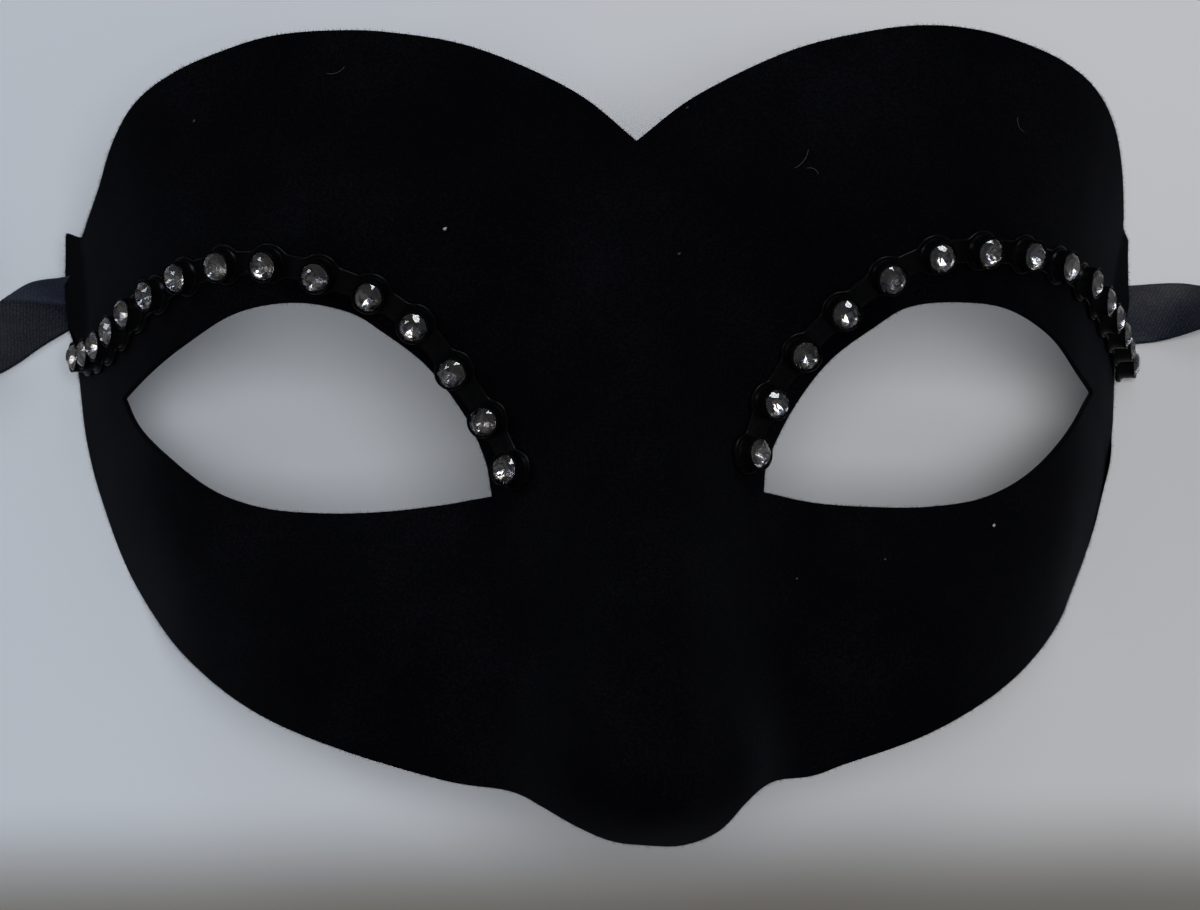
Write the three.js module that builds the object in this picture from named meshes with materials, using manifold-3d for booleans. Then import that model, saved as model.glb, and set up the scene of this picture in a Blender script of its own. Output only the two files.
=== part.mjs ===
// A half mask for a masquerade: a thin moulded shell with a nose, two almond eye openings, a heart-shaped top edge and
// a square tab at each temple, with a banding of round stones glued along each brow and a flat ribbon tie at each temple.
// Millimetres. The mask lies on its back: +Z points away from the surface it rests on, +Y to the forehead, +X to the
// right of somebody looking at its face.
import * as THREE from 'three';
import { mergeVertices } from 'three/addons/utils/BufferGeometryUtils.js';
import Module from 'manifold-3d';

const wasm = await Module();
wasm.setup();

// ---------------------------------------------------------------- driving dimensions
const WALL = 1.2;                 // shell with its flocking
const CELL = 4.6;                 // side of the shell's facets
const REST_TILT = Math.atan(0.27); // turn about X that brings the temple rims level
const REST_Z = -50.2;             // height of the resting rim before the shell is set down on z = 0
const SHIFT_Y = -5.25;            // moves the middle of the mask to y = 0
const CENTRE = [-0.684, 2.196];     // sets the middle of the mask over the origin
const STONE_R = 2.0, STONES = 15;
const CUP_R = 2.36, CUP_IN = 2.15, CUP_H = 3.3, CUP_FLOOR = 1.75;
const FLANGE_R = 2.75, FLANGE_LO = 0.5, FLANGE_HI = 1.2, BAND_W = 3.4;
const SIDES = 7;
const RIBBON_W = 10, RIBBON_T = 0.5;
const ROLL_IN = 17.5, ROLL_OUT = 32.5, ROLL_H = 10.6;

// ---------------------------------------------------------------- small tools
const clamp = (v, a, b) => Math.min(b, Math.max(a, v));
const smooth = (t) => { t = clamp(t, 0, 1); return t * t * (3 - 2 * t); };
const bell = (dx, wx, dy, wy) => Math.exp(-((dx / wx) ** 2) - ((dy / wy) ** 2));

// smooth curve through a table of values
function table(xs, ys) {
  const n = xs.length, m = new Array(n).fill(0);
  for (let i = 1; i < n - 1; i++) {
    const h0 = xs[i] - xs[i - 1], h1 = xs[i + 1] - xs[i];
    m[i] = (((ys[i + 1] - ys[i]) / h1) * h0 + ((ys[i] - ys[i - 1]) / h0) * h1) / (h0 + h1);
  }
  return (x) => {
    x = clamp(x, xs[0], xs[n - 1]);
    let i = 0;
    while (i < n - 2 && x >= xs[i + 1]) i++;
    const h = xs[i + 1] - xs[i], t = (x - xs[i]) / h, t2 = t * t, t3 = t2 * t;
    return (2 * t3 - 3 * t2 + 1) * ys[i] + (t3 - 2 * t2 + t) * h * m[i] + (3 * t2 - 2 * t3) * ys[i + 1] + (t3 - t2) * h * m[i + 1];
  };
}

// smooth curve through points in the plane
function spline(pts, steps, closed = false) {
  const n = pts.length, q = closed
    ? [pts[n - 1], ...pts, pts[0], pts[1]]
    : [pts[0].map((v, k) => 2 * v - pts[1][k]), ...pts, pts[n - 1].map((v, k) => 2 * v - pts[n - 2][k])];
  const out = [];
  for (let i = 1; i < q.length - 2; i++) {
    for (let j = 0; j < steps; j++) {
      const t = j / steps;
      out.push(q[i].map((p1, k) => {
        const p0 = q[i - 1][k], p2 = q[i + 1][k], p3 = q[i + 2][k];
        return 0.5 * (2 * p1 + (p2 - p0) * t + (2 * p0 - 5 * p1 + 4 * p2 - p3) * t * t + (3 * p1 - p0 - 3 * p2 + p3) * t * t * t);
      }));
    }
  }
  if (!closed) out.push(pts[n - 1].slice());
  return out;
}

// ---------------------------------------------------------------- the face of the mask
// s runs round the face from its middle line, along the plan curve; y runs up it.
const TURN_S = [0, 20, 40, 60, 80, 98, 130], TURN_A = [0, 6, 16, 37, 61, 68, 68]; // turn of the plan curve, degrees
const TURN = (s) => { let i = 0; while (i < 5 && s > TURN_S[i + 1]) i++; return TURN_A[i] + (TURN_A[i + 1] - TURN_A[i]) * (s - TURN_S[i]) / (TURN_S[i + 1] - TURN_S[i]); };
const PLAN = [[0, 0]];
for (let i = 1; i <= 520; i++) {
  const a = (TURN((i - 0.5) / 4) * Math.PI) / 180, [x, z] = PLAN[i - 1];
  PLAN.push([x + Math.cos(a) / 4, z - Math.sin(a) / 4]);
}
function plan(a) {
  const t = clamp(a * 4, 0, 519.999), i = Math.floor(t), f = t - i;
  return [PLAN[i][0] + (PLAN[i + 1][0] - PLAN[i][0]) * f, PLAN[i][1] + (PLAN[i + 1][1] - PLAN[i][1]) * f];
}
const NOSE_Y = [-62, -56, -52.5, -49, -45.5, -41, -34, -22, -8, 6, 20, 34, 48, 64];
const noseHeight = table(NOSE_Y, [0.5, 3.5, 10, 18, 22.5, 23.6, 22, 18, 13.4, 9, 4.8, 2, 0.8, 0]);
const noseWidth = table(NOSE_Y, [13, 13.5, 14.2, 14.8, 15, 14.8, 14.2, 14, 14, 13.6, 12, 10.5, 9, 8]);
const LEAN = 0.5, WIDE = 0.05, LONG = 1.6, FULL = 0.03;   // the moulding is a little uneven: nose and one cheek

function bare(s, y) {
  const a = Math.abs(s), [x, drop] = plan(a), front = clamp(1 - (a / 92) ** 2, 0, 1);
  let z = drop + front * (-0.0011 * Math.max(y, 0) ** 2 - 0.0004 * Math.min(y, 0) ** 2);
  z -= 9.0 * front * bell(x - 42, 32, y + 4, y > -4 ? 19 : 13);        // eye socket
  z += 3.0 * front * bell(x - 38, 28, y - 33, 9.5);                     // brow
  z += 3.5 * front * bell(x - 44, 24, y + 27, 13);                      // cheek
  const down = smooth((-y - 8) / 40), side = Math.sign(s) * x - LEAN * down;
  const xn = Math.abs(side) / (1 + (side > 0 ? WIDE : 0) * down), yn = y + LONG * smooth((-y - 26) / 22);
  z += noseHeight(yn) * Math.exp(-((xn / noseWidth(yn)) ** 2.3));       // nose
  z += 4.0 * bell(xn - 13.2, 5.2, yn + 41, 7.5);                        // nostril wing
  const top = smooth((y - 18) / 40), low = smooth(-y / 40);
  z += -drop * 0.2554 * top + drop * 0.3105 * low;                      // flatter above, deeper below
  const narrow = 1 + 0.0374 * smooth((y - 20) / 40) - (0.0564 - (s > 0 ? FULL : 0)) * smooth((4 - y) / 44);
  return new THREE.Vector3(Math.sign(s) * x * narrow, y, z);
}
// the tab at the temple is a flat plate, bent out a little
const TAB = [103.5, 28], TAB_FLARE = (13 * Math.PI) / 180;
const tabPoint = bare(...TAB);
const tabS = bare(TAB[0] + 2, TAB[1]).sub(bare(TAB[0] - 2, TAB[1])).multiplyScalar(0.25);
const tabY = bare(TAB[0], TAB[1] + 2).sub(bare(TAB[0], TAB[1] - 2)).multiplyScalar(0.25);
tabS.applyAxisAngle(new THREE.Vector3(0, 1, 0), -TAB_FLARE);
function face(s, y) {
  const p = bare(s, y), w = smooth((Math.abs(s) - 101) / 5) * smooth((y - 14) / 6);
  if (w === 0) return p;
  const t = tabPoint.clone().addScaledVector(tabS, Math.abs(s) - TAB[0]).addScaledVector(tabY, y - TAB[1]);
  if (s < 0) t.x = -t.x;
  return p.lerp(t, w);
}
function normal(s, y) {
  const e = 0.3;
  const u = face(s + e, y).sub(face(s - e, y)), v = face(s, y + e).sub(face(s, y - e));
  return u.cross(v).normalize();
}
// sets a point of the face down on its temple rims
const COS = Math.cos(REST_TILT), SIN = Math.sin(REST_TILT);
const turned = (p) => new THREE.Vector3(p.x, p.y * COS - p.z * SIN, p.y * SIN + p.z * COS);
const set = (p) => turned(p).add(new THREE.Vector3(0, SHIFT_Y, -REST_Z));
const at = (s, y, lift) => set(face(s, y).addScaledVector(normal(s, y), lift));

// The low wall of each cheek reaches down to the ground, so that the mask lies steady; the rims that carry it are cut
// level, a little higher over each ribbon.
function grounded(p) {
  const a = Math.abs(p.x);
  const reach = (p.x > 0 ? 2.8 : 2.0) * smooth((a - 55) / 15) * smooth((13 - p.y) / 8) * smooth((p.y + 26) / 12) * smooth((24 - p.z) / 20);
  p.z = Math.max(a > 70 ? (RIBBON_T + 0.15) * smooth((p.y - 19) / 3) : 0, p.z - reach);
  return p;
}

// ---------------------------------------------------------------- cut outline and eye openings, as (s, y)
// each row: s, y and how far the right half departs from the mean of both
const TOP_EDGE = [[0, 42.9, 0.35, 0], [8.5, 49.8, 0.3, -0.3], [21.2, 56, 0.2, -0.1], [32.6, 58.7, 0, 0.3], [41.4, 59.5, 0, 0.7],
  [50, 59, 0, 0.8], [58.5, 57.2, 0, 1], [66.7, 54.9, 0, 1.1], [75.7, 51.4, 0, 1.2], [84.4, 46.5, 0.2, 1.5],
  [92, 40.8, 0.4, 1.5], [98.8, 36.5, 0.1, 1.3], [103.7, 33.9, 0.1, 0.9], [107.7, 33.4, -0.6, -0.4]];
const LOW_EDGE = [[107.7, 33.4, -0.6, -0.4], [108.9, 29.8, -0.5, 0.2], [110.6, 25.7, -0.1, 0.4], [111.6, 21.6, 0.6, 0.8],
  [109.9, 15.8, -0.3, 0.7], [108.1, 9.7, -0.1, 0.4], [106, 3.8, 0, 0.2], [104, -1.7, 0.7, 0.2], [100.4, -6.9, 0.3, 0.3],
  [92.9, -16.8, 0.1, 0.7], [81.6, -24.8, -0.4, 1.3], [69.7, -31.1, -0.1, 1.4], [57.5, -36.6, -0.1, 1.1],
  [43.7, -41.3, 0, 0.6], [30.6, -44.7, 0, 0.5], [25.1, -45.9, 0, 0.3], [18.4, -46.1, -0.1, 0.6],
  [14.4, -47.7, -0.2, 0.4], [9.8, -51.1, 0.3, -0.5], [5, -53, 0.2, -0.5], [0, -53.2, 0, 0]];
const EYE = [[86, 8.3, -0.5, 0.2], [77, 11.8, 0, -0.1], [67.9, 16.1, 0.2, 0.4], [58, 19.8, 0, 0.2], [48.5, 20.8, 0, 0],
  [40.2, 19.7, -0.1, 0.3], [34.8, 16.7, -0.2, 0.3], [28.6, 12.1, -0.4, 0.3], [23.5, 5.6, -0.4, 0.3], [20.1, -1.3, -0.9, -0.3],
  [19.3, -6.1, -0.8, 0.2], [26.8, -7.5, -0.4, 0], [35.8, -8.3, 0, 0.1], [44.8, -8.4, 0, 0.2], [54, -7.5, -0.1, 0.4],
  [62.9, -4.8, -0.3, 0.7], [72.5, 0.3, -0.5, 0.8], [81.2, 5.1, -0.7, 1]];
const INNER = 10;                        // row of EYE at the corner beside the nose; row 0 is the outer one

const rows = (list, side) => list.map(([s, y, ds, dy]) => [side * (s + side * ds), y + side * dy]);
const halfEdge = (side) => [...spline(rows(TOP_EDGE, side), 6).slice(0, -1), ...spline(rows(LOW_EDGE, side), 6)];
const OUTLINE = [...halfEdge(1), ...halfEdge(-1).slice(1, -1).reverse()].reverse();
const EYES = [1, -1].map((side) => {
  const e = rows(EYE, side);
  return [...spline(e.slice(0, INNER + 1), 6).slice(0, -1), ...spline([...e.slice(INNER), e[0]], 6).slice(0, -1)];
});
const CORNERS = [1, -1].flatMap((side) => {
  const top = rows(TOP_EDGE, side), e = rows(EYE, side);
  return [...(side > 0 ? [top[0]] : []), top[top.length - 1], e[0], e[INNER]];
});

function within([px, py], loop) {
  let c = false;
  for (let i = 0, j = loop.length - 1; i < loop.length; j = i++) {
    const [xi, yi] = loop[i], [xj, yj] = loop[j];
    if ((yi > py) !== (yj > py) && px < ((xj - xi) * (py - yi)) / (yj - yi) + xi) c = !c;
  }
  return c;
}
const onShell = (p) => within(p, OUTLINE) && !EYES.some((e) => within(p, e));
function nearest([px, py]) {
  let best = Infinity, q = null;
  for (const loop of [OUTLINE, ...EYES]) {
    for (let i = 0, j = loop.length - 1; i < loop.length; j = i++) {
      const [ax, ay] = loop[j], dx = loop[i][0] - ax, dy = loop[i][1] - ay, l = dx * dx + dy * dy;
      if (l < 1e-12) continue;
      const t = clamp(((px - ax) * dx + (py - ay) * dy) / l, 0, 1), x = ax + t * dx, y = ay + t * dy;
      const d = (px - x) ** 2 + (py - y) ** 2;
      if (d < best) { best = d; q = [x, y]; }
    }
  }
  return [Math.sqrt(best), q];
}

// ---------------------------------------------------------------- mask shell
function shellGeometry() {
  const rise = CELL * Math.sqrt(3) / 2, cols = 2 * Math.ceil(124 / CELL), rows = Math.ceil(124 / rise);
  const pts = [], val = [];
  const id = (i, j) => j * (cols + 2) + i;
  for (let j = 0; j <= rows; j++) {
    for (let i = 0; i <= cols + 1; i++) {
      pts.push([(i - cols / 2 - (j % 2 ? 0.5 : 0)) * CELL, -58 + j * rise]);
    }
  }
  const fixed = new Set();
  for (const c of CORNERS) {
    let k = -1, best = Infinity;
    pts.forEach((p, n) => { const d = Math.hypot(p[0] - c[0], p[1] - c[1]); if (d < best && !fixed.has(n)) { best = d; k = n; } });
    pts[k] = c.slice(); fixed.add(k);
  }
  pts.forEach((p, n) => {
    if (fixed.has(n)) { val[n] = 0; return; }
    const [d, q] = nearest(p), inner = onShell(p);
    if (d < 0.36 * CELL) { pts[n] = q; val[n] = 0; } else val[n] = inner ? 1 : -1;
  });
  const cuts = new Map();
  const cross = (a, b) => {
    const key = a < b ? `${a}_${b}` : `${b}_${a}`;
    if (!cuts.has(key)) {
      let lo = pts[a], hi = pts[b];                     // lo on the shell, hi off it
      for (let k = 0; k < 40; k++) {
        const m = [(lo[0] + hi[0]) / 2, (lo[1] + hi[1]) / 2];
        if (onShell(m)) lo = m; else hi = m;
      }
      pts.push(lo); val.push(0); cuts.set(key, pts.length - 1);
    }
    return cuts.get(key);
  };
  const tris = [];
  const size = (a, b) => Math.hypot(pts[a][0] - pts[b][0], pts[a][1] - pts[b][1]);
  const cell = (t) => {
    if (t.every((n) => val[n] <= 0)) {
      if (t.some((n) => val[n] < 0)) return;
      const m = [0, 1].map((k) => (pts[t[0]][k] + pts[t[1]][k] + pts[t[2]][k]) / 3);
      if (onShell(m)) tris.push(t);
      return;
    }
    const poly = [];
    for (let k = 0; k < 3; k++) {
      const a = t[k], b = t[(k + 1) % 3];
      if (val[a] >= 0) poly.push(a);
      if (val[a] > 0 && val[b] < 0) poly.push(cross(a, b));
      if (val[a] < 0 && val[b] > 0) poly.push(cross(b, a));
    }
    if (poly.length === 3) tris.push(poly);
    else if (poly.length === 4) {
      const [a, b, c, d] = poly;
      if (size(a, c) < size(b, d)) tris.push([a, b, c], [a, c, d]); else tris.push([a, b, d], [b, c, d]);
    }
  };
  for (let j = 0; j < rows; j++) {
    for (let i = 0; i <= cols; i++) {
      const a = id(i, j), b = id(i + 1, j), c = id(i, j + 1), d = id(i + 1, j + 1);
      if (j % 2) { cell([a, b, d]); cell([a, d, c]); } else { cell([a, b, c]); cell([b, d, c]); }
    }
  }
  const position = [], index = [], outer = new Map(), inner = new Map();
  const vertex = (map, n, lift) => {
    if (!map.has(n)) {
      const p = grounded(at(pts[n][0], pts[n][1], lift));
      map.set(n, position.length / 3);
      position.push(p.x, p.y, p.z);
    }
    return map.get(n);
  };
  const edges = new Map();
  for (const t of tris) {
    for (let k = 0; k < 3; k++) edges.set(`${t[k]}_${t[(k + 1) % 3]}`, [t[k], t[(k + 1) % 3]]);
    index.push(...t.map((n) => vertex(outer, n, 0)));
    index.push(...t.map((n) => vertex(inner, n, -WALL)).reverse());
  }
  for (const [a, b] of edges.values()) {
    if (edges.has(`${b}_${a}`)) continue;
    const A = vertex(outer, a, 0), B = vertex(outer, b, 0), a2 = vertex(inner, a, -WALL), b2 = vertex(inner, b, -WALL);
    index.push(A, a2, B, B, a2, b2);
  }
  const g = new THREE.BufferGeometry();
  g.setAttribute('position', new THREE.Float32BufferAttribute(position, 3));
  g.setIndex(index);
  return g;
}

// ---------------------------------------------------------------- stone banding
// (s, y) of the start, of each stone and of the end; tail is the band's length past its last stone
const START = 3.0;                       // from the end of the band to its first stone
const STRIP = {
  left: { side: -1, tail: START, path: [[15.0, -5.3], [16.3, -2.6], [19.7, 4.4], [24.7, 11.4], [30.2, 17.8], [36.4, 22.1], [43.7, 24.9],
    [51.2, 26.5], [58.6, 26.6], [66.2, 25.2], [73.0, 22.9], [79.2, 20.4], [84.9, 18.0], [90.3, 16.0], [95.5, 15.0], [100.6, 14.7], [104.5, 14.6]] },
  right: { side: 1, tail: 0.9, path: [[13.8, -3.35], [15.1, -0.6], [18.3, 6.7], [23.2, 13.6], [29.1, 19.5], [35.7, 24.5], [42.8, 27.5],
    [50.5, 28.3], [58.8, 28.1], [67.2, 26.9], [75.6, 24.9], [82.9, 22.4], [89.4, 20.0], [96.3, 17.8], [102.4, 15.8], [107.2, 13.5], [111.0, 12.0]] },
};
const STEPS = 60;
function walk(strip) {
  const line = spline(strip.path, STEPS).map(([s, y]) => [strip.side * s, y]);
  const run = [0];
  for (let i = 1; i < line.length; i++) run.push(run[i - 1] + face(...line[i]).distanceTo(face(...line[i - 1])));
  strip.stops = run.filter((d, i) => i && i % STEPS === 0).slice(0, STONES);
  return (d) => {
    let i = 1;
    while (i < run.length - 1 && run[i] < d) i++;
    const t = (d - run[i - 1]) / (run[i] - run[i - 1]);
    const [s, y] = [0, 1].map((k) => line[i - 1][k] + (line[i][k] - line[i - 1][k]) * t);
    const e = clamp(i, 2, line.length - 2);
    const along = turned(face(...line[e + 1]).sub(face(...line[e - 2]))).normalize();
    const up = turned(normal(s, y)), out = set(face(s, y));
    along.addScaledVector(up, -along.dot(up)).normalize();
    return { p: out, up, along, across: new THREE.Vector3().crossVectors(up, along) };
  };
}
const frameMatrix = (f) => new THREE.Matrix4().makeBasis(f.along, f.across, f.up).setPosition(f.p);
function turnedProfile(profile, sides) {
  const g = new THREE.LatheGeometry(profile.map(([r, z]) => new THREE.Vector2(r, z)), sides);
  g.rotateX(Math.PI / 2);                // axis to +Z
  return closed(g);
}
function closed(g) {
  g.deleteAttribute('normal'); g.deleteAttribute('uv');
  const m = mergeVertices(g, 1e-4), ix = [], src = m.index.array;
  for (let i = 0; i < src.length; i += 3) {
    const [a, b, c] = [src[i], src[i + 1], src[i + 2]];
    if (a !== b && b !== c && a !== c) ix.push(a, b, c);
  }
  m.setIndex(ix);
  if (volume(m) < 0) { for (let i = 0; i < ix.length; i += 3) [ix[i], ix[i + 1]] = [ix[i + 1], ix[i]]; m.setIndex(ix); }
  return m;
}
function volume(g) {
  const p = g.attributes.position, ix = g.index.array, a = new THREE.Vector3(), b = new THREE.Vector3(), c = new THREE.Vector3();
  let v = 0;
  for (let i = 0; i < ix.length; i += 3) {
    a.fromBufferAttribute(p, ix[i]); b.fromBufferAttribute(p, ix[i + 1]); c.fromBufferAttribute(p, ix[i + 2]);
    v += a.dot(b.cross(c)) / 6;
  }
  return v;
}
const toSolid = (g) => new wasm.Manifold(new wasm.Mesh({
  numProp: 3, vertProperties: Float32Array.from(g.attributes.position.array), triVerts: Uint32Array.from(g.index.array),
}));
function fromSolid(solid) {
  const m = solid.getMesh(), g = new THREE.BufferGeometry();
  g.setAttribute('position', new THREE.BufferAttribute(Float32Array.from(m.vertProperties), 3));
  g.setIndex(new THREE.BufferAttribute(Uint32Array.from(m.triVerts), 1));
  return g;
}
// a bar of rectangular section through frames with their own half widths
function bar(frames, widths, lo, hi) {
  const position = [], index = [];
  frames.forEach((f, i) => {
    for (const [w, h] of [[-1, lo], [1, lo], [1, hi], [-1, hi]]) {
      const p = f.p.clone().addScaledVector(f.across, w * widths[i]).addScaledVector(f.up, h);
      position.push(p.x, p.y, p.z);
    }
  });
  const n = frames.length;
  for (let i = 0; i < n - 1; i++) {
    for (let k = 0; k < 4; k++) {
      const a = 4 * i + k, b = 4 * i + ((k + 1) % 4);
      index.push(a, b, a + 4, b, b + 4, a + 4);
    }
  }
  const e = 4 * (n - 1);
  index.push(0, 3, 1, 1, 3, 2, e, e + 1, e + 3, e + 1, e + 2, e + 3);
  const g = new THREE.BufferGeometry();
  g.setAttribute('position', new THREE.Float32BufferAttribute(position, 3));
  g.setIndex(index);
  if (volume(g) < 0) { for (let i = 0; i < index.length; i += 3) [index[i], index[i + 1]] = [index[i + 1], index[i]]; g.setIndex(index); }
  return g;
}
const CUP = turnedProfile([[0, 0.65], [CUP_R - 0.1, 0.65], [CUP_R, CUP_H], [CUP_IN, CUP_H], [CUP_IN, CUP_FLOOR], [0, CUP_FLOOR]], SIDES);
const STONE = turnedProfile([[0, -1.15], [0.5, -1.15], [STONE_R, -0.05], [STONE_R, 0.2], [1.15, 0.95], [0, 0.95]], SIDES);
const STONE_SEAT = 3.12;                 // height of the stone's girdle over the face

function stripGeometry(strip) {
  const frame = walk(strip), d = strip.stops, frames = [], widths = [];
  const last = d[STONES - 1] + strip.tail;
  for (let i = 0; i < STONES; i++) {
    const before = i ? (d[i] - d[i - 1]) / 2 : START;
    const steps = [[-before, i ? 1.75 : 1.6], [-1.6, 2.2], [0, FLANGE_R], [1.6, 2.2]];
    for (const [t, w] of steps) if (d[i] + t < last - 0.3) { frames.push(frame(d[i] + t)); widths.push(w); }
    if (i === STONES - 1) { frames.push(frame(last)); widths.push(strip.tail < 1.6 ? 2.5 : 1.6); }
  }
  let solid = toSolid(bar(frames, widths, FLANGE_LO, FLANGE_HI));
  for (const t of d) solid = solid.add(toSolid(CUP.clone().applyMatrix4(frameMatrix(frame(t)))));
  return fromSolid(solid);
}

// ---------------------------------------------------------------- ribbons
// Each ribbon is glued inside its tab, passes under the rim, lies flat, then turns on its edge and is rolled up.
const RIBBON = {
  left: { side: -1, y: 24.8, floor: [[-80, 34.2], [-84, 32.8], [-87.4, 30.8], [-91.1, 28.7], [-95.2, 26.2], [-100.2, 23.2], [-105.2, 20.4]],
    twist: [0, 0, 0, 0, 0.06, 0.40, 0.85], roll: [-135.6, 36.4] },
  right: { side: 1, y: 24.0, floor: [[80, 30.6], [84, 30.5], [88, 30.8], [92, 31.1], [96.4, 31.4], [103, 32.4], [110.5, 33.8]],
    twist: [0, 0, 0, 0.06, 0.28, 0.60, 0.88], roll: [131.8, 6.5] },
};
function ribbonFrames(r) {
  const y0 = r.y, half = RIBBON_T / 2, frames = [];
  const inside = (s) => {
    const n = normal(r.side * s, y0), p = set(face(r.side * s, y0).addScaledVector(n, -WALL - 0.3 - half));
    const down = turned(face(r.side * (s + 1), y0).sub(face(r.side * s, y0))).normalize();
    const up = turned(n);
    return { p, up, along: down, across: new THREE.Vector3().crossVectors(up, down) };
  };
  for (const s of [93, 96, 99, 102]) frames.push(inside(s));
  const lie = r.floor.map(([x, y]) => new THREE.Vector3(x, y, half));
  const tail = (i) => lie[Math.min(i + 1, lie.length - 1)].clone().sub(lie[Math.max(i - 1, 0)]).normalize();
  const flat = lie.map((p, i) => {
    const along = tail(i), up = new THREE.Vector3(0, 0, 1);
    return { p, up, along, across: new THREE.Vector3().crossVectors(up, along) };
  });
  // soft bend from the tab to the ground
  const a = frames[frames.length - 1], b = flat[0];
  for (const t of [0.3, 0.55, 0.8]) {
    const u = 1 - t, reach = a.p.distanceTo(b.p) * 0.45;
    const p = a.p.clone().multiplyScalar(u ** 3)
      .addScaledVector(a.p.clone().addScaledVector(a.along, reach), 3 * u * u * t)
      .addScaledVector(b.p.clone().addScaledVector(b.along, -reach), 3 * u * t * t)
      .addScaledVector(b.p, t ** 3);
    const up = a.up.clone().multiplyScalar(u).addScaledVector(b.up, t).normalize();
    const along = a.along.clone().multiplyScalar(u).addScaledVector(b.along, t);
    along.addScaledVector(up, -along.dot(up)).normalize();
    const across = new THREE.Vector3().crossVectors(up, along);
    p.z = Math.max(p.z, Math.abs(across.z) * RIBBON_W / 2 + half);
    frames.push({ p, up, along, across });
  }
  // the last stretch turns the ribbon on its edge
  flat.forEach((f, i) => {
    const w = r.twist[i] * Math.PI / 2;
    const across = f.across.clone().multiplyScalar(Math.cos(w)).addScaledVector(new THREE.Vector3(0, 0, 1), -Math.sin(w));
    const up = new THREE.Vector3().crossVectors(f.along, across);
    const p = f.p.clone(); p.z = half * Math.cos(w) + (RIBBON_W / 2) * Math.sin(w);
    frames.push({ p, up, along: f.along, across });
  });
  return frames;
}
function rollGeometry(r) {
  const g = new THREE.LatheGeometry([[ROLL_IN, 0], [ROLL_OUT, 0], [ROLL_OUT, ROLL_H], [ROLL_IN, ROLL_H], [ROLL_IN, 0]]
    .map(([x, y]) => new THREE.Vector2(x, y)), 24);
  g.rotateX(Math.PI / 2);
  g.translate(r.roll[0], r.roll[1], 0);
  return closed(g);
}

// ---------------------------------------------------------------- the object
const mask = new THREE.Group();
function add(name, geometry, options) {
  geometry.computeVertexNormals();
  const m = new THREE.Mesh(geometry, new THREE.MeshStandardMaterial(options));
  m.name = name;
  mask.add(m);
  return m;
}
add('mask_shell', shellGeometry(), { color: 0x0b0c0f, roughness: 1, metalness: 0 });
for (const [side, strip] of Object.entries(STRIP)) {
  add(`trim_strip_${side}`, stripGeometry(strip), { color: 0x101114, roughness: 0.3, metalness: 0 });
  const frame = walk(strip);
  strip.stops.forEach((d, i) => {
    const m = add(`stone_${side}_${String(i + 1).padStart(2, '0')}`, STONE.clone(), { color: 0xd9dde2, roughness: 0.05, metalness: 0.3 });
    const f = frame(d);
    m.quaternion.setFromRotationMatrix(new THREE.Matrix4().makeBasis(f.along, f.across, f.up));
    m.position.copy(f.p).addScaledVector(f.up, STONE_SEAT);
  });
}
for (const [side, r] of Object.entries(RIBBON)) {
  const frames = ribbonFrames(r);
  add(`ribbon_${side}`, bar(frames, frames.map(() => RIBBON_W / 2), -RIBBON_T / 2, RIBBON_T / 2), { color: 0x14161c, roughness: 0.5, metalness: 0 });
  add(`ribbon_${side}_roll`, rollGeometry(r), { color: 0x14161c, roughness: 0.5, metalness: 0 });
}
mask.position.set(...CENTRE, 0);
export default mask;
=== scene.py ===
# Looks of a masquerade half mask: a black flocked moulded shell, a banding of clear stones in black plastic cups over
# each eye and a black satin ribbon tie at each temple. Lengths below are millimetres until a mesh is made.
import math

import bpy
import numpy as np
from mathutils import Matrix, Vector, geometry, noise


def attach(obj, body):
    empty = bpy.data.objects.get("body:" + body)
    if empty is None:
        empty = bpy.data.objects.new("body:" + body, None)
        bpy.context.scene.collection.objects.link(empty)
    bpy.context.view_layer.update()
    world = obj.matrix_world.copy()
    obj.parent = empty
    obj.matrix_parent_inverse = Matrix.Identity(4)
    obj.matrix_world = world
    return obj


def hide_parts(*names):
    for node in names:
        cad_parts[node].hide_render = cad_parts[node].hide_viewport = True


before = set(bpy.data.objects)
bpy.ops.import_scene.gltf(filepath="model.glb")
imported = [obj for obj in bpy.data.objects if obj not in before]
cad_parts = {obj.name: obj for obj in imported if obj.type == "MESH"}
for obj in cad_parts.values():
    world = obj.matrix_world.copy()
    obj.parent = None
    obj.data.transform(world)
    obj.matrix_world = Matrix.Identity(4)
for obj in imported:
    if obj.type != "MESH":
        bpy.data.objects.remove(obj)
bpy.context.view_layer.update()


MM = 0.001
rng = np.random.default_rng(7)

# ------------------------------------------------------------------ the mask's dimensions, as in its construction
WALL = 1.2
REST_TILT = math.atan(0.27)
CENTRE = np.array([-0.684, 2.196, 0.0])              # sets the middle of the mask over the origin
SET_DOWN = np.array([0, -5.25, 50.2]) + CENTRE
STONE_R = 2.0
STONES = 15
START = 3.0
STONE_SEAT = 3.12
RIBBON_W, RIBBON_T = 10.0, 0.5

# ------------------------------------------------------------------ camera
YAW, ROLL = math.radians(4.3755), math.radians(0.2898)


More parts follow.
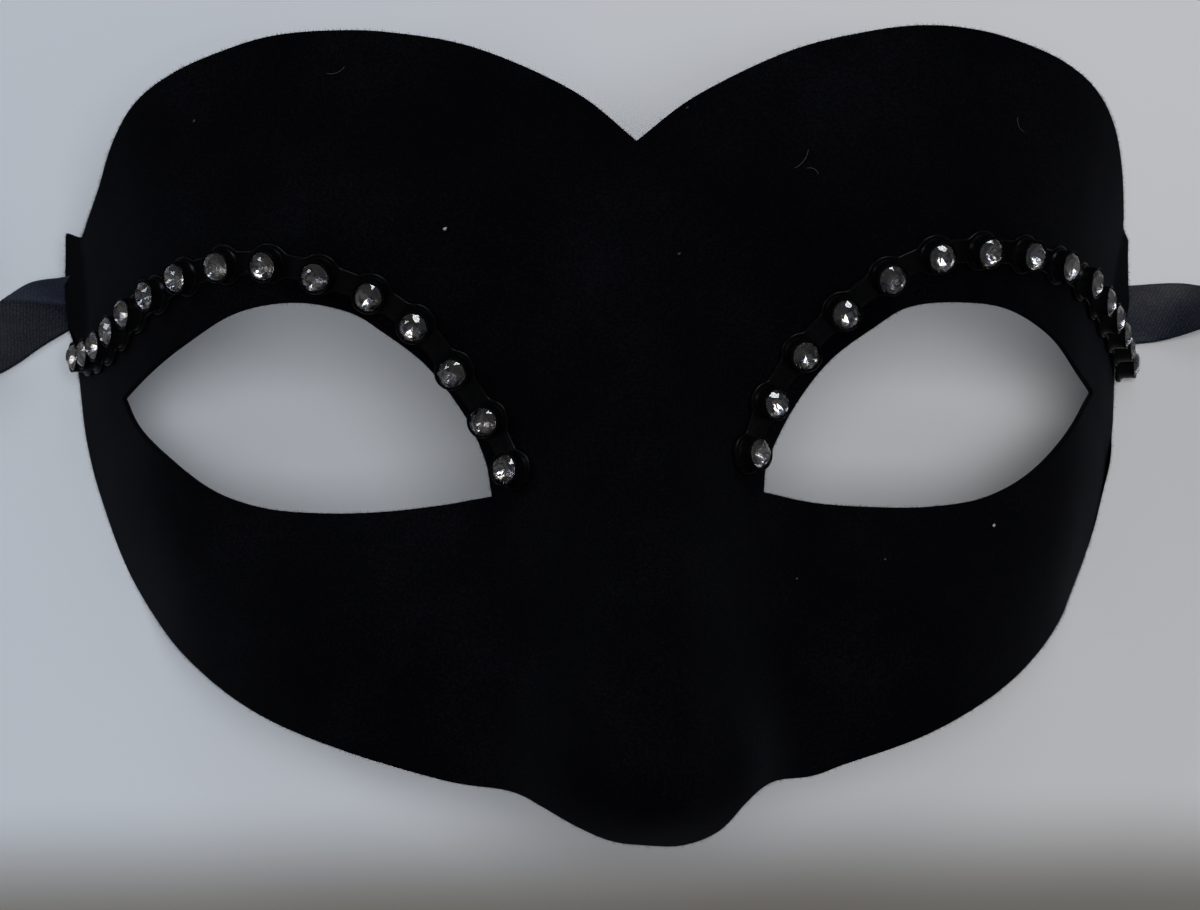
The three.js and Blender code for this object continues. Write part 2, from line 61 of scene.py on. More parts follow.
def camera():
    cy, sy, cr, sr = math.cos(YAW), math.sin(YAW), math.cos(ROLL), math.sin(ROLL)
    ry = np.array([[cy, 0, sy], [0, 1, 0], [-sy, 0, cy]])
    rz = np.array([[cr, -sr, 0], [sr, cr, 0], [0, 0, 1]])
    rm = rz @ ry
    at = np.array([-5.0119, -0.6504, 0.0]) - (rm.T @ np.array([0, 0, -1.0])) * 375.0
    ct, st = math.cos(REST_TILT), math.sin(REST_TILT)
    tilt = np.array([[1, 0, 0], [0, ct, -st], [0, st, ct]])
    place = (tilt @ at + SET_DOWN) * MM
    turn = (rm @ tilt.T).T
    data = bpy.data.cameras.new("camera")
    data.sensor_fit = "HORIZONTAL"
    data.sensor_width = 36.0
    data.lens = 81.5625
    data.clip_start = 0.01
    data.clip_end = 20.0
    cam = bpy.data.objects.new("camera", data)
    m = Matrix([list(turn[i]) + [place[i]] for i in range(3)] + [[0, 0, 0, 1]])
    cam.matrix_world = m
    bpy.context.scene.collection.objects.link(cam)
    bpy.context.scene.camera = cam
    return cam


camera()


# ------------------------------------------------------------------ small tools
def clamp(v, a, b):
    return np.minimum(b, np.maximum(a, v))


def smooth(t):
    t = clamp(t, 0.0, 1.0)
    return t * t * (3 - 2 * t)


def bell(dx, wx, dy, wy):
    return np.exp(-((dx / wx) ** 2) - ((dy / wy) ** 2))


def table(xs, ys):
    xs, ys = np.array(xs, float), np.array(ys, float)
    m = np.zeros(len(xs))
    for i in range(1, len(xs) - 1):
        h0, h1 = xs[i] - xs[i - 1], xs[i + 1] - xs[i]
        m[i] = (((ys[i + 1] - ys[i]) / h1) * h0 + ((ys[i] - ys[i - 1]) / h0) * h1) / (h0 + h1)

    def f(x):
        x = clamp(np.asarray(x, float), xs[0], xs[-1])
        i = clamp(np.searchsorted(xs, x, side="right") - 1, 0, len(xs) - 2)
        h = xs[i + 1] - xs[i]
        t = (x - xs[i]) / h
        t2, t3 = t * t, t * t * t
        return (2 * t3 - 3 * t2 + 1) * ys[i] + (t3 - 2 * t2 + t) * h * m[i] + (3 * t2 - 2 * t3) * ys[i + 1] + (t3 - t2) * h * m[i + 1]

    return f


def spline(pts, steps, closed=False):
    p = np.array(pts, float)
    q = np.vstack([p[-1:], p, p[:1], p[1:2]]) if closed else np.vstack([2 * p[:1] - p[1:2], p, 2 * p[-1:] - p[-2:-1]])
    out = []
    for i in range(1, len(q) - 2):
        for j in range(steps):
            t = j / steps
            p0, p1, p2, p3 = q[i - 1], q[i], q[i + 1], q[i + 2]
            out.append(0.5 * (2 * p1 + (p2 - p0) * t + (2 * p0 - 5 * p1 + 4 * p2 - p3) * t * t + (3 * p1 - p0 - 3 * p2 + p3) * t ** 3))
    if not closed:
        out.append(p[-1])
    return np.array(out)


def unit(v):
    v = np.asarray(v, float)
    return v / np.maximum(np.linalg.norm(v, axis=-1, keepdims=True), 1e-12)


def resample(line, step, closed=False):
    p = np.array(line, float)
    if closed:
        p = np.vstack([p, p[:1]])
    run = np.concatenate([[0], np.cumsum(np.linalg.norm(np.diff(p, axis=0), axis=1))])
    n = max(2, int(round(run[-1] / step)))
    t = np.linspace(0, run[-1], n + 1)
    out = np.stack([np.interp(t, run, p[:, k]) for k in range(p.shape[1])], 1)
    return out[:-1] if closed else out


# ------------------------------------------------------------------ the face of the mask, over (s, y)
TURN_S, TURN_A = [0, 20, 40, 60, 80, 98, 130], [0, 6, 16, 37, 61, 68, 68]
_mid = (np.arange(520) + 0.5) / 4
_ang = np.radians(np.interp(_mid, TURN_S, TURN_A))
PLAN_X = np.concatenate([[0], np.cumsum(np.cos(_ang) / 4)])
PLAN_Z = np.concatenate([[0], np.cumsum(-np.sin(_ang) / 4)])
PLAN_S = np.arange(521) / 4
NOSE_Y = [-62, -56, -52.5, -49, -45.5, -41, -34, -22, -8, 6, 20, 34, 48, 64]
nose_height = table(NOSE_Y, [0.5, 3.5, 10, 18, 22.5, 23.6, 22, 18, 13.4, 9, 4.8, 2, 0.8, 0])
nose_width = table(NOSE_Y, [13, 13.5, 14.2, 14.8, 15, 14.8, 14.2, 14, 14, 13.6, 12, 10.5, 9, 8])

LEAN, WIDE, LONG, FULL = 0.5, 0.05, 1.6, 0.03     # the moulding is a little uneven: nose and one cheek


def bare(s, y):
    s, y = np.broadcast_arrays(np.asarray(s, float), np.asarray(y, float))
    a = np.abs(s)
    x, drop = np.interp(a, PLAN_S, PLAN_X), np.interp(a, PLAN_S, PLAN_Z)
    front = clamp(1 - (a / 92) ** 2, 0, 1)
    z = drop + front * (-0.0011 * np.maximum(y, 0) ** 2 - 0.0004 * np.minimum(y, 0) ** 2)
    z = z - 9.0 * front * bell(x - 42, 32, y + 4, np.where(y > -4, 19.0, 13.0))
    z = z + 3.0 * front * bell(x - 38, 28, y - 33, 9.5)
    z = z + 3.5 * front * bell(x - 44, 24, y + 27, 13)
    down = smooth((-y - 8) / 40)                      # the nose leans a little to one side towards its tip
    xn = np.sign(s) * x - LEAN * down
    xn = np.abs(xn) / (1 + np.where(xn > 0, WIDE, 0.0) * down)
    yn = y + LONG * smooth((-y - 26) / 22)
    z = z + nose_height(yn) * np.exp(-((xn / nose_width(yn)) ** 2.3))
    z = z + 4.0 * bell(xn - 13.2, 5.2, yn + 41, 7.5)
    top, low = smooth((y - 18) / 40), smooth(-y / 40)
    z = z - drop * 0.2554 * top + drop * 0.3105 * low
    narrow = 1 + 0.0374 * smooth((y - 20) / 40) - (0.0564 - np.where(s > 0, FULL, 0.0)) * smooth((4 - y) / 44)
    return np.stack([np.sign(s) * x * narrow, y, z], -1)


TAB_S, TAB_Y, TAB_FLARE = 103.5, 28.0, math.radians(13)     # the tab is a flat plate, bent out a little
TAB_P = bare(TAB_S, TAB_Y)
TAB_DS = (bare(TAB_S + 2, TAB_Y) - bare(TAB_S - 2, TAB_Y)) / 4
TAB_DS = np.array([TAB_DS[0] * math.cos(TAB_FLARE) - TAB_DS[2] * math.sin(TAB_FLARE), TAB_DS[1],
                   TAB_DS[2] * math.cos(TAB_FLARE) + TAB_DS[0] * math.sin(TAB_FLARE)])
TAB_DY = (bare(TAB_S, TAB_Y + 2) - bare(TAB_S, TAB_Y - 2)) / 4


def face(s, y):
    s, y = np.broadcast_arrays(np.asarray(s, float), np.asarray(y, float))
    p = bare(s, y)
    w = (smooth((np.abs(s) - 101) / 5) * smooth((y - 14) / 6))[..., None]
    t = TAB_P + TAB_DS * (np.abs(s) - TAB_S)[..., None] + TAB_DY * (y - TAB_Y)[..., None]
    t = np.stack([np.where(s < 0, -t[..., 0], t[..., 0]), t[..., 1], t[..., 2]], -1)
    return p * (1 - w) + t * w


def normal(s, y):
    e = 0.3
    return unit(np.cross(face(s + e, y) - face(s - e, y), face(s, y + e) - face(s, y - e)))


COS, SIN = math.cos(REST_TILT), math.sin(REST_TILT)


def turned(p):
    return np.stack([p[..., 0], p[..., 1] * COS - p[..., 2] * SIN, p[..., 1] * SIN + p[..., 2] * COS], -1)


def set_down(p):
    return turned(p) + SET_DOWN


def at(s, y, lift):
    lift = np.asarray(lift, float)
    return set_down(face(s, y) + normal(s, y) * lift[..., None])


def grounded(p):
    """The low wall of each cheek reaches down to the ground; the rims that carry the mask are cut level, higher over
    each ribbon."""
    x, y, z = p[..., 0] - CENTRE[0], p[..., 1] - CENTRE[1], p[..., 2]
    reach = np.where(x > 0, 2.8, 2.0) * smooth((np.abs(x) - 55) / 15) * smooth((13 - y) / 8) * smooth((y + 26) / 12) * smooth((24 - z) / 20)
    low = np.where(np.abs(x) > 70, 0.6 * smooth((y - 19) / 3), 0.0)
    return np.stack([p[..., 0], p[..., 1], np.maximum(low, z - reach)], -1)


# ------------------------------------------------------------------ cut outline and eye openings
# each row: s, y and how far the right half departs from the mean of both
TOP_EDGE = [[0, 42.9, 0.35, 0], [8.5, 49.8, 0.3, -0.3], [21.2, 56, 0.2, -0.1], [32.6, 58.7, 0, 0.3], [41.4, 59.5, 0, 0.7],
            [50, 59, 0, 0.8], [58.5, 57.2, 0, 1], [66.7, 54.9, 0, 1.1], [75.7, 51.4, 0, 1.2], [84.4, 46.5, 0.2, 1.5],
            [92, 40.8, 0.4, 1.5], [98.8, 36.5, 0.1, 1.3], [103.7, 33.9, 0.1, 0.9], [107.7, 33.4, -0.6, -0.4]]
LOW_EDGE = [[107.7, 33.4, -0.6, -0.4], [108.9, 29.8, -0.5, 0.2], [110.6, 25.7, -0.1, 0.4], [111.6, 21.6, 0.6, 0.8],
            [109.9, 15.8, -0.3, 0.7], [108.1, 9.7, -0.1, 0.4], [106, 3.8, 0, 0.2], [104, -1.7, 0.7, 0.2], [100.4, -6.9, 0.3, 0.3],
            [92.9, -16.8, 0.1, 0.7], [81.6, -24.8, -0.4, 1.3], [69.7, -31.1, -0.1, 1.4], [57.5, -36.6, -0.1, 1.1],
            [43.7, -41.3, 0, 0.6], [30.6, -44.7, 0, 0.5], [25.1, -45.9, 0, 0.3], [18.4, -46.1, -0.1, 0.6],
            [14.4, -47.7, -0.2, 0.4], [9.8, -51.1, 0.3, -0.5], [5, -53, 0.2, -0.5], [0, -53.2, 0, 0]]
EYE = [[86, 8.3, -0.5, 0.2], [77, 11.8, 0, -0.1], [67.9, 16.1, 0.2, 0.4], [58, 19.8, 0, 0.2], [48.5, 20.8, 0, 0],
       [40.2, 19.7, -0.1, 0.3], [34.8, 16.7, -0.2, 0.3], [28.6, 12.1, -0.4, 0.3], [23.5, 5.6, -0.4, 0.3], [20.1, -1.3, -0.9, -0.3],
       [19.3, -6.1, -0.8, 0.2], [26.8, -7.5, -0.4, 0], [35.8, -8.3, 0, 0.1], [44.8, -8.4, 0, 0.2], [54, -7.5, -0.1, 0.4],
       [62.9, -4.8, -0.3, 0.7], [72.5, 0.3, -0.5, 0.8], [81.2, 5.1, -0.7, 1]]
INNER_CORNER = 10                                     # row of EYE at the corner beside the nose; row 0 is the outer one


def rows(table_, side):
    r = np.array(table_, float)
    return (r[:, :2] + side * r[:, 2:]) * [side, 1]


def half_edge(side):
    return np.vstack([spline(rows(TOP_EDGE, side), 12)[:-1], spline(rows(LOW_EDGE, side), 12)])


def eye(side):
    e = rows(EYE, side)
    return np.vstack([spline(e[:INNER_CORNER + 1], 12)[:-1], spline(np.vstack([e[INNER_CORNER:], e[:1]]), 12)[:-1]])


OUTLINE = np.vstack([half_edge(1), half_edge(-1)[1:-1][::-1]])
EYE_R, EYE_L = eye(1), eye(-1)


def even(loop, step, corners):
    """The loop at even steps, with its corners kept."""
    at_c = sorted({int(np.argmin(np.hypot(*(loop - c).T))) for c in corners})
    out = []
    for i, a in enumerate(at_c):
        b = at_c[(i + 1) % len(at_c)]
        part = loop[a:b + 1] if b > a else np.vstack([loop[a:], loop[:b + 1]])
        out.append(resample(part, step)[:-1])
    return np.vstack(out)


def inside(p, loops):
    """Whether each point lies inside the first loop and outside the others."""
    ok = None
    for k, loop in enumerate(loops):
        c = np.zeros(len(p), bool)
        x0, y0 = np.roll(loop[:, 0], 1), np.roll(loop[:, 1], 1)
        for xi, yi, xj, yj in zip(loop[:, 0], loop[:, 1], x0, y0):
            if yi == yj:
                continue
            hit = ((yi > p[:, 1]) != (yj > p[:, 1])) & (p[:, 0] < (xj - xi) * (p[:, 1] - yi) / (yj - yi) + xi)
            c ^= hit
        ok = c if k == 0 else ok & ~c
    return ok


def distance(p, loops):
    best = np.full(len(p), 1e9)
    for loop in loops:
        a, b = loop, np.roll(loop, -1, axis=0)
        d = b - a
        l = (d ** 2).sum(1)
        for i in range(len(a)):
            if l[i] < 1e-12:
                continue
            t = clamp(((p - a[i]) @ d[i]) / l[i], 0, 1)
            q = p - a[i] - t[:, None] * d[i]
            best = np.minimum(best, (q ** 2).sum(1))
    return np.sqrt(best)


# ------------------------------------------------------------------ meshes
def new_object(name, verts, faces, uv=None, smooth_faces=True, body="root"):
    """A mesh piece from points in millimetres, which rides on the body."""
    me = bpy.data.meshes.new(name)
    me.from_pydata([tuple(v) for v in np.asarray(verts, float) * MM], [], [tuple(int(i) for i in f) for f in faces])
    me.validate()
    me.update()
    if smooth_faces:
        me.polygons.foreach_set("use_smooth", [True] * len(me.polygons))
    if uv is not None:
        layer = me.uv_layers.new(name="UVMap")
        loops = np.zeros(len(me.loops), np.int32)
        me.loops.foreach_get("vertex_index", loops)
        layer.data.foreach_set("uv", np.asarray(uv, np.float32)[loops].ravel())
    ob = bpy.data.objects.new(name, me)
    bpy.context.scene.collection.objects.link(ob)
    if body:
        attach(ob, body)
    return ob


def outward(verts, faces):
    """The faces, turned so that the closed mesh has its faces pointing out."""
    v = np.asarray(verts, float)
    vol = 0.0
    for f in faces:
        for k in range(1, len(f) - 1):
            vol += np.dot(v[f[0]], np.cross(v[f[k]], v[f[k + 1]]))
    return [tuple(reversed(f)) for f in faces] if vol < 0 else faces


def sweep(points, across, up, section):
    """A closed bar: section gives (across, up) offsets for each frame, as an array of frames x corners x 2."""
    n, k = section.shape[:2]
    v = points[:, None] + across[:, None] * section[..., :1] + up[:, None] * section[..., 1:]
    v = v.reshape(-1, 3)
    f = []
    for i in range(n - 1):
        for j in range(k):
            a, b = i * k + j, i * k + (j + 1) % k
            f.append((a, b, b + k, a + k))
    f.append(tuple(range(k))[::-1])
    f.append(tuple(range((n - 1) * k, n * k)))
    return v, f


# ------------------------------------------------------------------ materials
def tree(name):
    m = bpy.data.materials.new(name)
    m.use_nodes = True
    t = m.node_tree
    bsdf = t.nodes["Principled BSDF"]
    return m, t, bsdf


def node(t, kind, **values):
    n = t.nodes.new(kind)
    for k, v in values.items():
        if k.startswith("_"):
            n.inputs[k[1:].replace("_", " ")].default_value = v
        else:
            setattr(n, k, v)
    return n


def ramp(t, stops):
    n = t.nodes.new("ShaderNodeValToRGB")
    e = n.color_ramp.elements
    while len(e) < len(stops):
        e.new(0.5)
    for k, (pos, col) in enumerate(stops):
        e[k].position = pos
        e[k].color = (*col, 1.0) if len(col) == 3 else col
    return n


def coords(t, scale=1000.0):
    """Object coordinates in millimetres."""
    c = t.nodes.new("ShaderNodeTexCoord")
    m = node(t, "ShaderNodeMapping")
    m.inputs["Scale"].default_value = (scale, scale, scale)
    t.links.new(c.outputs["Object"], m.inputs["Vector"])
    return m.outputs["Vector"]


def flock_material():
    m, t, b = tree("black_flock")
    v = coords(t)
    fine = node(t, "ShaderNodeTexNoise", _Scale=2.6, _Detail=3.0, _Roughness=0.7)
    wide = node(t, "ShaderNodeTexNoise", _Scale=0.055, _Detail=3.0, _Roughness=0.55)
    t.links.new(v, fine.inputs["Vector"])
    t.links.new(v, wide.inputs["Vector"])
    mix = node(t, "ShaderNodeMath", operation="MULTIPLY_ADD")
    t.links.new(fine.outputs["Fac"], mix.inputs[0])
    mix.inputs[1].default_value = 0.62
    scaled = node(t, "ShaderNodeMath", operation="MULTIPLY")
    t.links.new(wide.outputs["Fac"], scaled.inputs[0])
    scaled.inputs[1].default_value = 0.38
    t.links.new(scaled.outputs[0], mix.inputs[2])
    col = ramp(t, [(0.34, (0.0001, 0.0001, 0.0003)), (0.50, (0.0006, 0.0006, 0.0012)), (0.70, (0.0031, 0.0031, 0.0043))])
    t.links.new(mix.outputs[0], col.inputs["Fac"])
    t.links.new(col.outputs["Color"], b.inputs["Base Color"])
    b.inputs["Roughness"].default_value = 0.95
    b.inputs["Specular IOR Level"].default_value = 0.03
    b.inputs["Sheen Weight"].default_value = 0.012
    b.inputs["Sheen Roughness"].default_value = 0.45
    b.inputs["Sheen Tint"].default_value = (0.75, 0.80, 1.0, 1.0)
    nap = node(t, "ShaderNodeTexNoise", _Scale=7.5, _Detail=2.0, _Roughness=0.7)
    t.links.new(v, nap.inputs["Vector"])
    bump = node(t, "ShaderNodeBump", _Strength=0.5, _Distance=0.0002)
    t.links.new(nap.outputs["Fac"], bump.inputs["Height"])
    t.links.new(bump.outputs["Normal"], b.inputs["Normal"])
    return m


def inner_material():
    m, t, b = tree("moulded_black_plastic_inside")
    v = coords(t)
    n1 = node(t, "ShaderNodeTexNoise", _Scale=0.12, _Detail=4.0, _Roughness=0.6)
    n2 = node(t, "ShaderNodeTexNoise", _Scale=2.4, _Detail=2.0, _Roughness=0.6)
    for n in (n1, n2):
        t.links.new(v, n.inputs["Vector"])
    col = ramp(t, [(0.3, (0.0075, 0.0075, 0.0082)), (0.7, (0.0125, 0.0125, 0.0135))])
    t.links.new(n1.outputs["Fac"], col.inputs["Fac"])
    t.links.new(col.outputs["Color"], b.inputs["Base Color"])
    rough = node(t, "ShaderNodeMapRange")
    rough.inputs["To Min"].default_value = 0.36
    rough.inputs["To Max"].default_value = 0.58
    t.links.new(n1.outputs["Fac"], rough.inputs["Value"])
    t.links.new(rough.outputs["Result"], b.inputs["Roughness"])
    bump = node(t, "ShaderNodeBump", _Strength=0.25, _Distance=0.0001)
    t.links.new(n2.outputs["Fac"], bump.inputs["Height"])
    t.links.new(bump.outputs["Normal"], b.inputs["Normal"])
    return m


def banding_material():
    m, t, b = tree("glossy_black_banding")
    v = coords(t)
    n1 = node(t, "ShaderNodeTexNoise", _Scale=0.9, _Detail=4.0, _Roughness=0.6)
    n2 = node(t, "ShaderNodeTexNoise", _Scale=9.0, _Detail=2.0, _Roughness=0.6)
    for n in (n1, n2):
        t.links.new(v, n.inputs["Vector"])
    col = ramp(t, [(0.3, (0.0008, 0.0009, 0.0012)), (0.7, (0.0020, 0.0020, 0.0024))])
    t.links.new(n1.outputs["Fac"], col.inputs["Fac"])
    t.links.new(col.outputs["Color"], b.inputs["Base Color"])
    rough = node(t, "ShaderNodeMapRange")
    rough.inputs["To Min"].default_value = 0.18
    rough.inputs["To Max"].default_value = 0.38
    t.links.new(n1.outputs["Fac"], rough.inputs["Value"])
    t.links.new(rough.outputs["Result"], b.inputs["Roughness"])
    b.inputs["Specular IOR Level"].default_value = 0.05
    bump = node(t, "ShaderNodeBump", _Strength=0.18, _Distance=0.00006)
    t.links.new(n2.outputs["Fac"], bump.inputs["Height"])
    t.links.new(bump.outputs["Normal"], b.inputs["Normal"])
    return m


def stone_material():
    m, t, b = tree("clear_faceted_stone")
    v = coords(t)
    n1 = node(t, "ShaderNodeTexNoise", _Scale=0.6, _Detail=3.0, _Roughness=0.6)
    t.links.new(v, n1.inputs["Vector"])
    col = ramp(t, [(0.3, (0.93, 0.95, 0.98)), (0.7, (1.0, 1.0, 1.0))])
    t.links.new(n1.outputs["Fac"], col.inputs["Fac"])
    t.links.new(col.outputs["Color"], b.inputs["Base Color"])
    rough = node(t, "ShaderNodeMapRange")
    rough.inputs["To Min"].default_value = 0.0
    rough.inputs["To Max"].default_value = 0.05
    t.links.new(n1.outputs["Fac"], rough.inputs["Value"])
    t.links.new(rough.outputs["Result"], b.inputs["Roughness"])
    b.inputs["Transmission Weight"].default_value = 1.0
    b.inputs["IOR"].default_value = 1.56
    return m


def foil_material():
    m, t, b = tree("silver_foil_back")
    v = coords(t)
    n1 = node(t, "ShaderNodeTexNoise", _Scale=1.1, _Detail=4.0, _Roughness=0.7)
    t.links.new(v, n1.inputs["Vector"])
    col = ramp(t, [(0.28, (0.055, 0.060, 0.085)), (0.44, (0.17, 0.175, 0.20)), (0.54, (0.26, 0.22, 0.18)), (0.68, (0.42, 0.45, 0.52))])
    t.links.new(n1.outputs["Fac"], col.inputs["Fac"])
    t.links.new(col.outputs["Color"], b.inputs["Base Color"])
    b.inputs["Metallic"].default_value = 1.0
    rough = node(t, "ShaderNodeMapRange")
    rough.inputs["To Min"].default_value = 0.06
    rough.inputs["To Max"].default_value = 0.26
    t.links.new(n1.outputs["Fac"], rough.inputs["Value"])
    t.links.new(rough.outputs["Result"], b.inputs["Roughness"])
    return m


CREASE_AT, CREASE_SLOPE = -2.3, 0.77                  # the left ribbon's crease, across and along the band


def ribbon_material(side, painted_light_tint):
    """Satin with a slanting twill and fine lines along it; a painted light tint is added to one part: on the right
    ribbon the half towards +Y of the section, warmer, and on the left the facet beyond the slanting crease, lighter and
    bluer.
    """
    m, t, b = tree(f"black_satin_ribbon_{side}")
    uv = node(t, "ShaderNodeTexCoord")
    mp = node(t, "ShaderNodeMapping")
    mp.inputs["Rotation"].default_value = (0, 0, math.radians(33))
    t.links.new(uv.outputs["UV"], mp.inputs["Vector"])
    twill = node(t, "ShaderNodeTexWave", wave_type="BANDS", bands_direction="X")
    twill.inputs["Scale"].default_value = 0.62
    twill.inputs["Distortion"].default_value = 2.2
    twill.inputs["Detail"].default_value = 2.0
    twill.inputs["Detail Scale"].default_value = 1.8
    t.links.new(mp.outputs["Vector"], twill.inputs["Vector"])
    mp2 = node(t, "ShaderNodeMapping")
    mp2.inputs["Scale"].default_value = (0.35, 6.0, 1.0)
    t.links.new(uv.outputs["UV"], mp2.inputs["Vector"])
    warp = node(t, "ShaderNodeTexNoise", _Scale=1.6, _Detail=3.0, _Roughness=0.6)
    t.links.new(mp2.outputs["Vector"], warp.inputs["Vector"])
    grain = node(t, "ShaderNodeTexNoise", _Scale=2.6, _Detail=2.0, _Roughness=0.7)
    t.links.new(uv.outputs["UV"], grain.inputs["Vector"])
    wide = node(t, "ShaderNodeTexNoise", _Scale=0.22, _Detail=2.0, _Roughness=0.5)
    t.links.new(uv.outputs["UV"], wide.inputs["Vector"])
    mix = node(t, "ShaderNodeMath", operation="MULTIPLY_ADD")
    t.links.new(warp.outputs["Fac"], mix.inputs[0])
    mix.inputs[1].default_value = 0.30
    s2 = node(t, "ShaderNodeMath", operation="MULTIPLY_ADD")
    t.links.new(twill.outputs["Fac"], s2.inputs[0])
    s2.inputs[1].default_value = 0.13
    s3 = node(t, "ShaderNodeMath", operation="MULTIPLY")
    t.links.new(grain.outputs["Fac"], s3.inputs[0])
    s3.inputs[1].default_value = 0.57
    t.links.new(s3.outputs[0], s2.inputs[2])
    t.links.new(s2.outputs[0], mix.inputs[2])
    # painted light: the same satin is made lighter on the right ribbon and darker on the left, for how light falls on
    # each
    painted_light_gain = 1.45 if side == "right" else 0.88
    col = ramp(t, [(0.34, (0.0012 * painted_light_gain, 0.0018 * painted_light_gain, 0.0038 * painted_light_gain)), (0.51, (0.0046 * painted_light_gain, 0.0060 * painted_light_gain, 0.0104 * painted_light_gain)), (0.68, (0.0165 * painted_light_gain, 0.0190 * painted_light_gain, 0.0270 * painted_light_gain))])
    t.links.new(mix.outputs[0], col.inputs["Fac"])
    cut = node(t, "ShaderNodeSeparateXYZ")
    t.links.new(uv.outputs["UV"], cut.inputs[0])
    # painted light: on the right the upper half of the band, on the left the facet beyond the slanting crease, gets a
    # tint that stands in for how light falls on it
    over = node(t, "ShaderNodeMath", operation="MULTIPLY_ADD")
    t.links.new(cut.outputs["X"], over.inputs[0])
    over.inputs[1].default_value = 0.0 if side == "right" else -CREASE_SLOPE
    over.inputs[2].default_value = 0.0 if side == "right" else -CREASE_AT
    gap = node(t, "ShaderNodeMath", operation="MULTIPLY_ADD")
    t.links.new(cut.outputs["Y"], gap.inputs[0])
    gap.inputs[1].default_value = 1.0 if side == "right" else -1.0
    t.links.new(over.outputs[0], gap.inputs[2])
    part = node(t, "ShaderNodeMapRange")
    part.inputs["From Min"].default_value = 0.4 if side == "right" else -0.1
    part.inputs["From Max"].default_value = 2.6 if side == "right" else 0.7
    t.links.new(gap.outputs[0], part.inputs["Value"])
    painted_light_add = node(t, "ShaderNodeMix", data_type="RGBA", blend_type="ADD")
    painted_light_add.inputs[7].default_value = (*painted_light_tint, 1.0)
    t.links.new(part.outputs["Result"], painted_light_add.inputs[0])
    t.links.new(col.outputs["Color"], painted_light_add.inputs[6])
    t.links.new(painted_light_add.outputs[2], b.inputs["Base Color"])
    rough = node(t, "ShaderNodeMapRange")
    rough.inputs["To Min"].default_value = 0.40
    rough.inputs["To Max"].default_value = 0.60
    t.links.new(wide.outputs["Fac"], rough.inputs["Value"])
    t.links.new(rough.outputs["Result"], b.inputs["Roughness"])
    b.inputs["Specular IOR Level"].default_value = 0.08
    b.inputs["Sheen Weight"].default_value = 0.02
    b.inputs["Sheen Roughness"].default_value = 0.35
    b.inputs["Sheen Tint"].default_value = (0.80, 0.86, 1.0, 1.0)
    bump = node(t, "ShaderNodeBump", _Strength=0.6, _Distance=0.00012)
    t.links.new(mix.outputs[0], bump.inputs["Height"])
    t.links.new(bump.outputs["Normal"], b.inputs["Normal"])
    return m


def lint_material():
    m, t, b = tree("pale_lint")
    v = coords(t)
    n1 = node(t, "ShaderNodeTexNoise", _Scale=6.0, _Detail=2.0)
    t.links.new(v, n1.inputs["Vector"])
    col = ramp(t, [(0.3, (0.20, 0.18, 0.15)), (0.7, (0.48, 0.45, 0.40))])
    t.links.new(n1.outputs["Fac"], col.inputs["Fac"])
    t.links.new(col.outputs["Color"], b.inputs["Base Color"])
    b.inputs["Roughness"].default_value = 0.9
    return m


def dim_lint_material():
    m, t, b = tree("dark_lint")
    v = coords(t)
    n1 = node(t, "ShaderNodeTexNoise", _Scale=3.0, _Detail=2.0)
    t.links.new(v, n1.inputs["Vector"])
    col = ramp(t, [(0.3, (0.012, 0.011, 0.011)), (0.7, (0.030, 0.028, 0.026))])
    t.links.new(n1.outputs["Fac"], col.inputs["Fac"])
    t.links.new(col.outputs["Color"], b.inputs["Base Color"])
    b.inputs["Roughness"].default_value = 0.85
    return m


def tie_material():
    m, t, b = tree("black_tie_thread")
    v = coords(t)
    w = node(t, "ShaderNodeTexWave", wave_type="BANDS", bands_direction="DIAGONAL")
    w.inputs["Scale"].default_value = 1.6
    t.links.new(v, w.inputs["Vector"])
    col = ramp(t, [(0.2, (0.006, 0.006, 0.008)), (0.8, (0.016, 0.016, 0.020))])
    t.links.new(w.outputs["Fac"], col.inputs["Fac"])
    t.links.new(col.outputs["Color"], b.inputs["Base Color"])
    b.inputs["Roughness"].default_value = 0.6
    bump = node(t, "ShaderNodeBump", _Strength=0.4, _Distance=0.0001)
    t.links.new(w.outputs["Fac"], bump.inputs["Height"])
    t.links.new(bump.outputs["Normal"], b.inputs["Normal"])
    return m


# the ribbons' tints below are painted light: warmer on the right ribbon's upper half, lighter and bluer on the left
# ribbon's facet
FLOCK, INSIDE, BANDING, STONE, FOIL, RIBBON, LINT, DIM, TIE = (
    flock_material(), inner_material(), banding_material(), stone_material(), foil_material(),
    {"left": ribbon_material("left", (0.0130, 0.0155, 0.0245)), "right": ribbon_material("right", (0.0080, 0.0052, 0.0022))},
    lint_material(), dim_lint_material(), tie_material())


# ------------------------------------------------------------------ ribbons: the cords of this object
ROUTES = {
    "left": dict(side=-1, lean=-1, y=24.8, floor=[[-80, 35.0], [-84, 33.9], [-87.4, 31.9], [-91.1, 29.5], [-95.2, 26.4], [-100.2, 23.2], [-105.2, 20.4]],
                 twist=[0, 0, 0, 0, 0.06, 0.40, 0.85, 1], touch=[-119.3, 11.2], roll=[-135.6, 36.4]),
    "right": dict(side=1, lean=-1, y=24.0, floor=[[80, 30.6], [84, 30.5], [88, 30.7], [92, 31.0], [96.4, 31.2], [103, 32.2], [110.5, 33.8]],
                  twist=[0, 0, 0.03, 0.14, 0.36, 0.66, 0.90, 1], touch=[127.6, 36.2], roll=[131.8, 6.5]),
}
TURNS, SPIRAL_OUT, SPIRAL_IN = 2.5, 30.0, 20.0


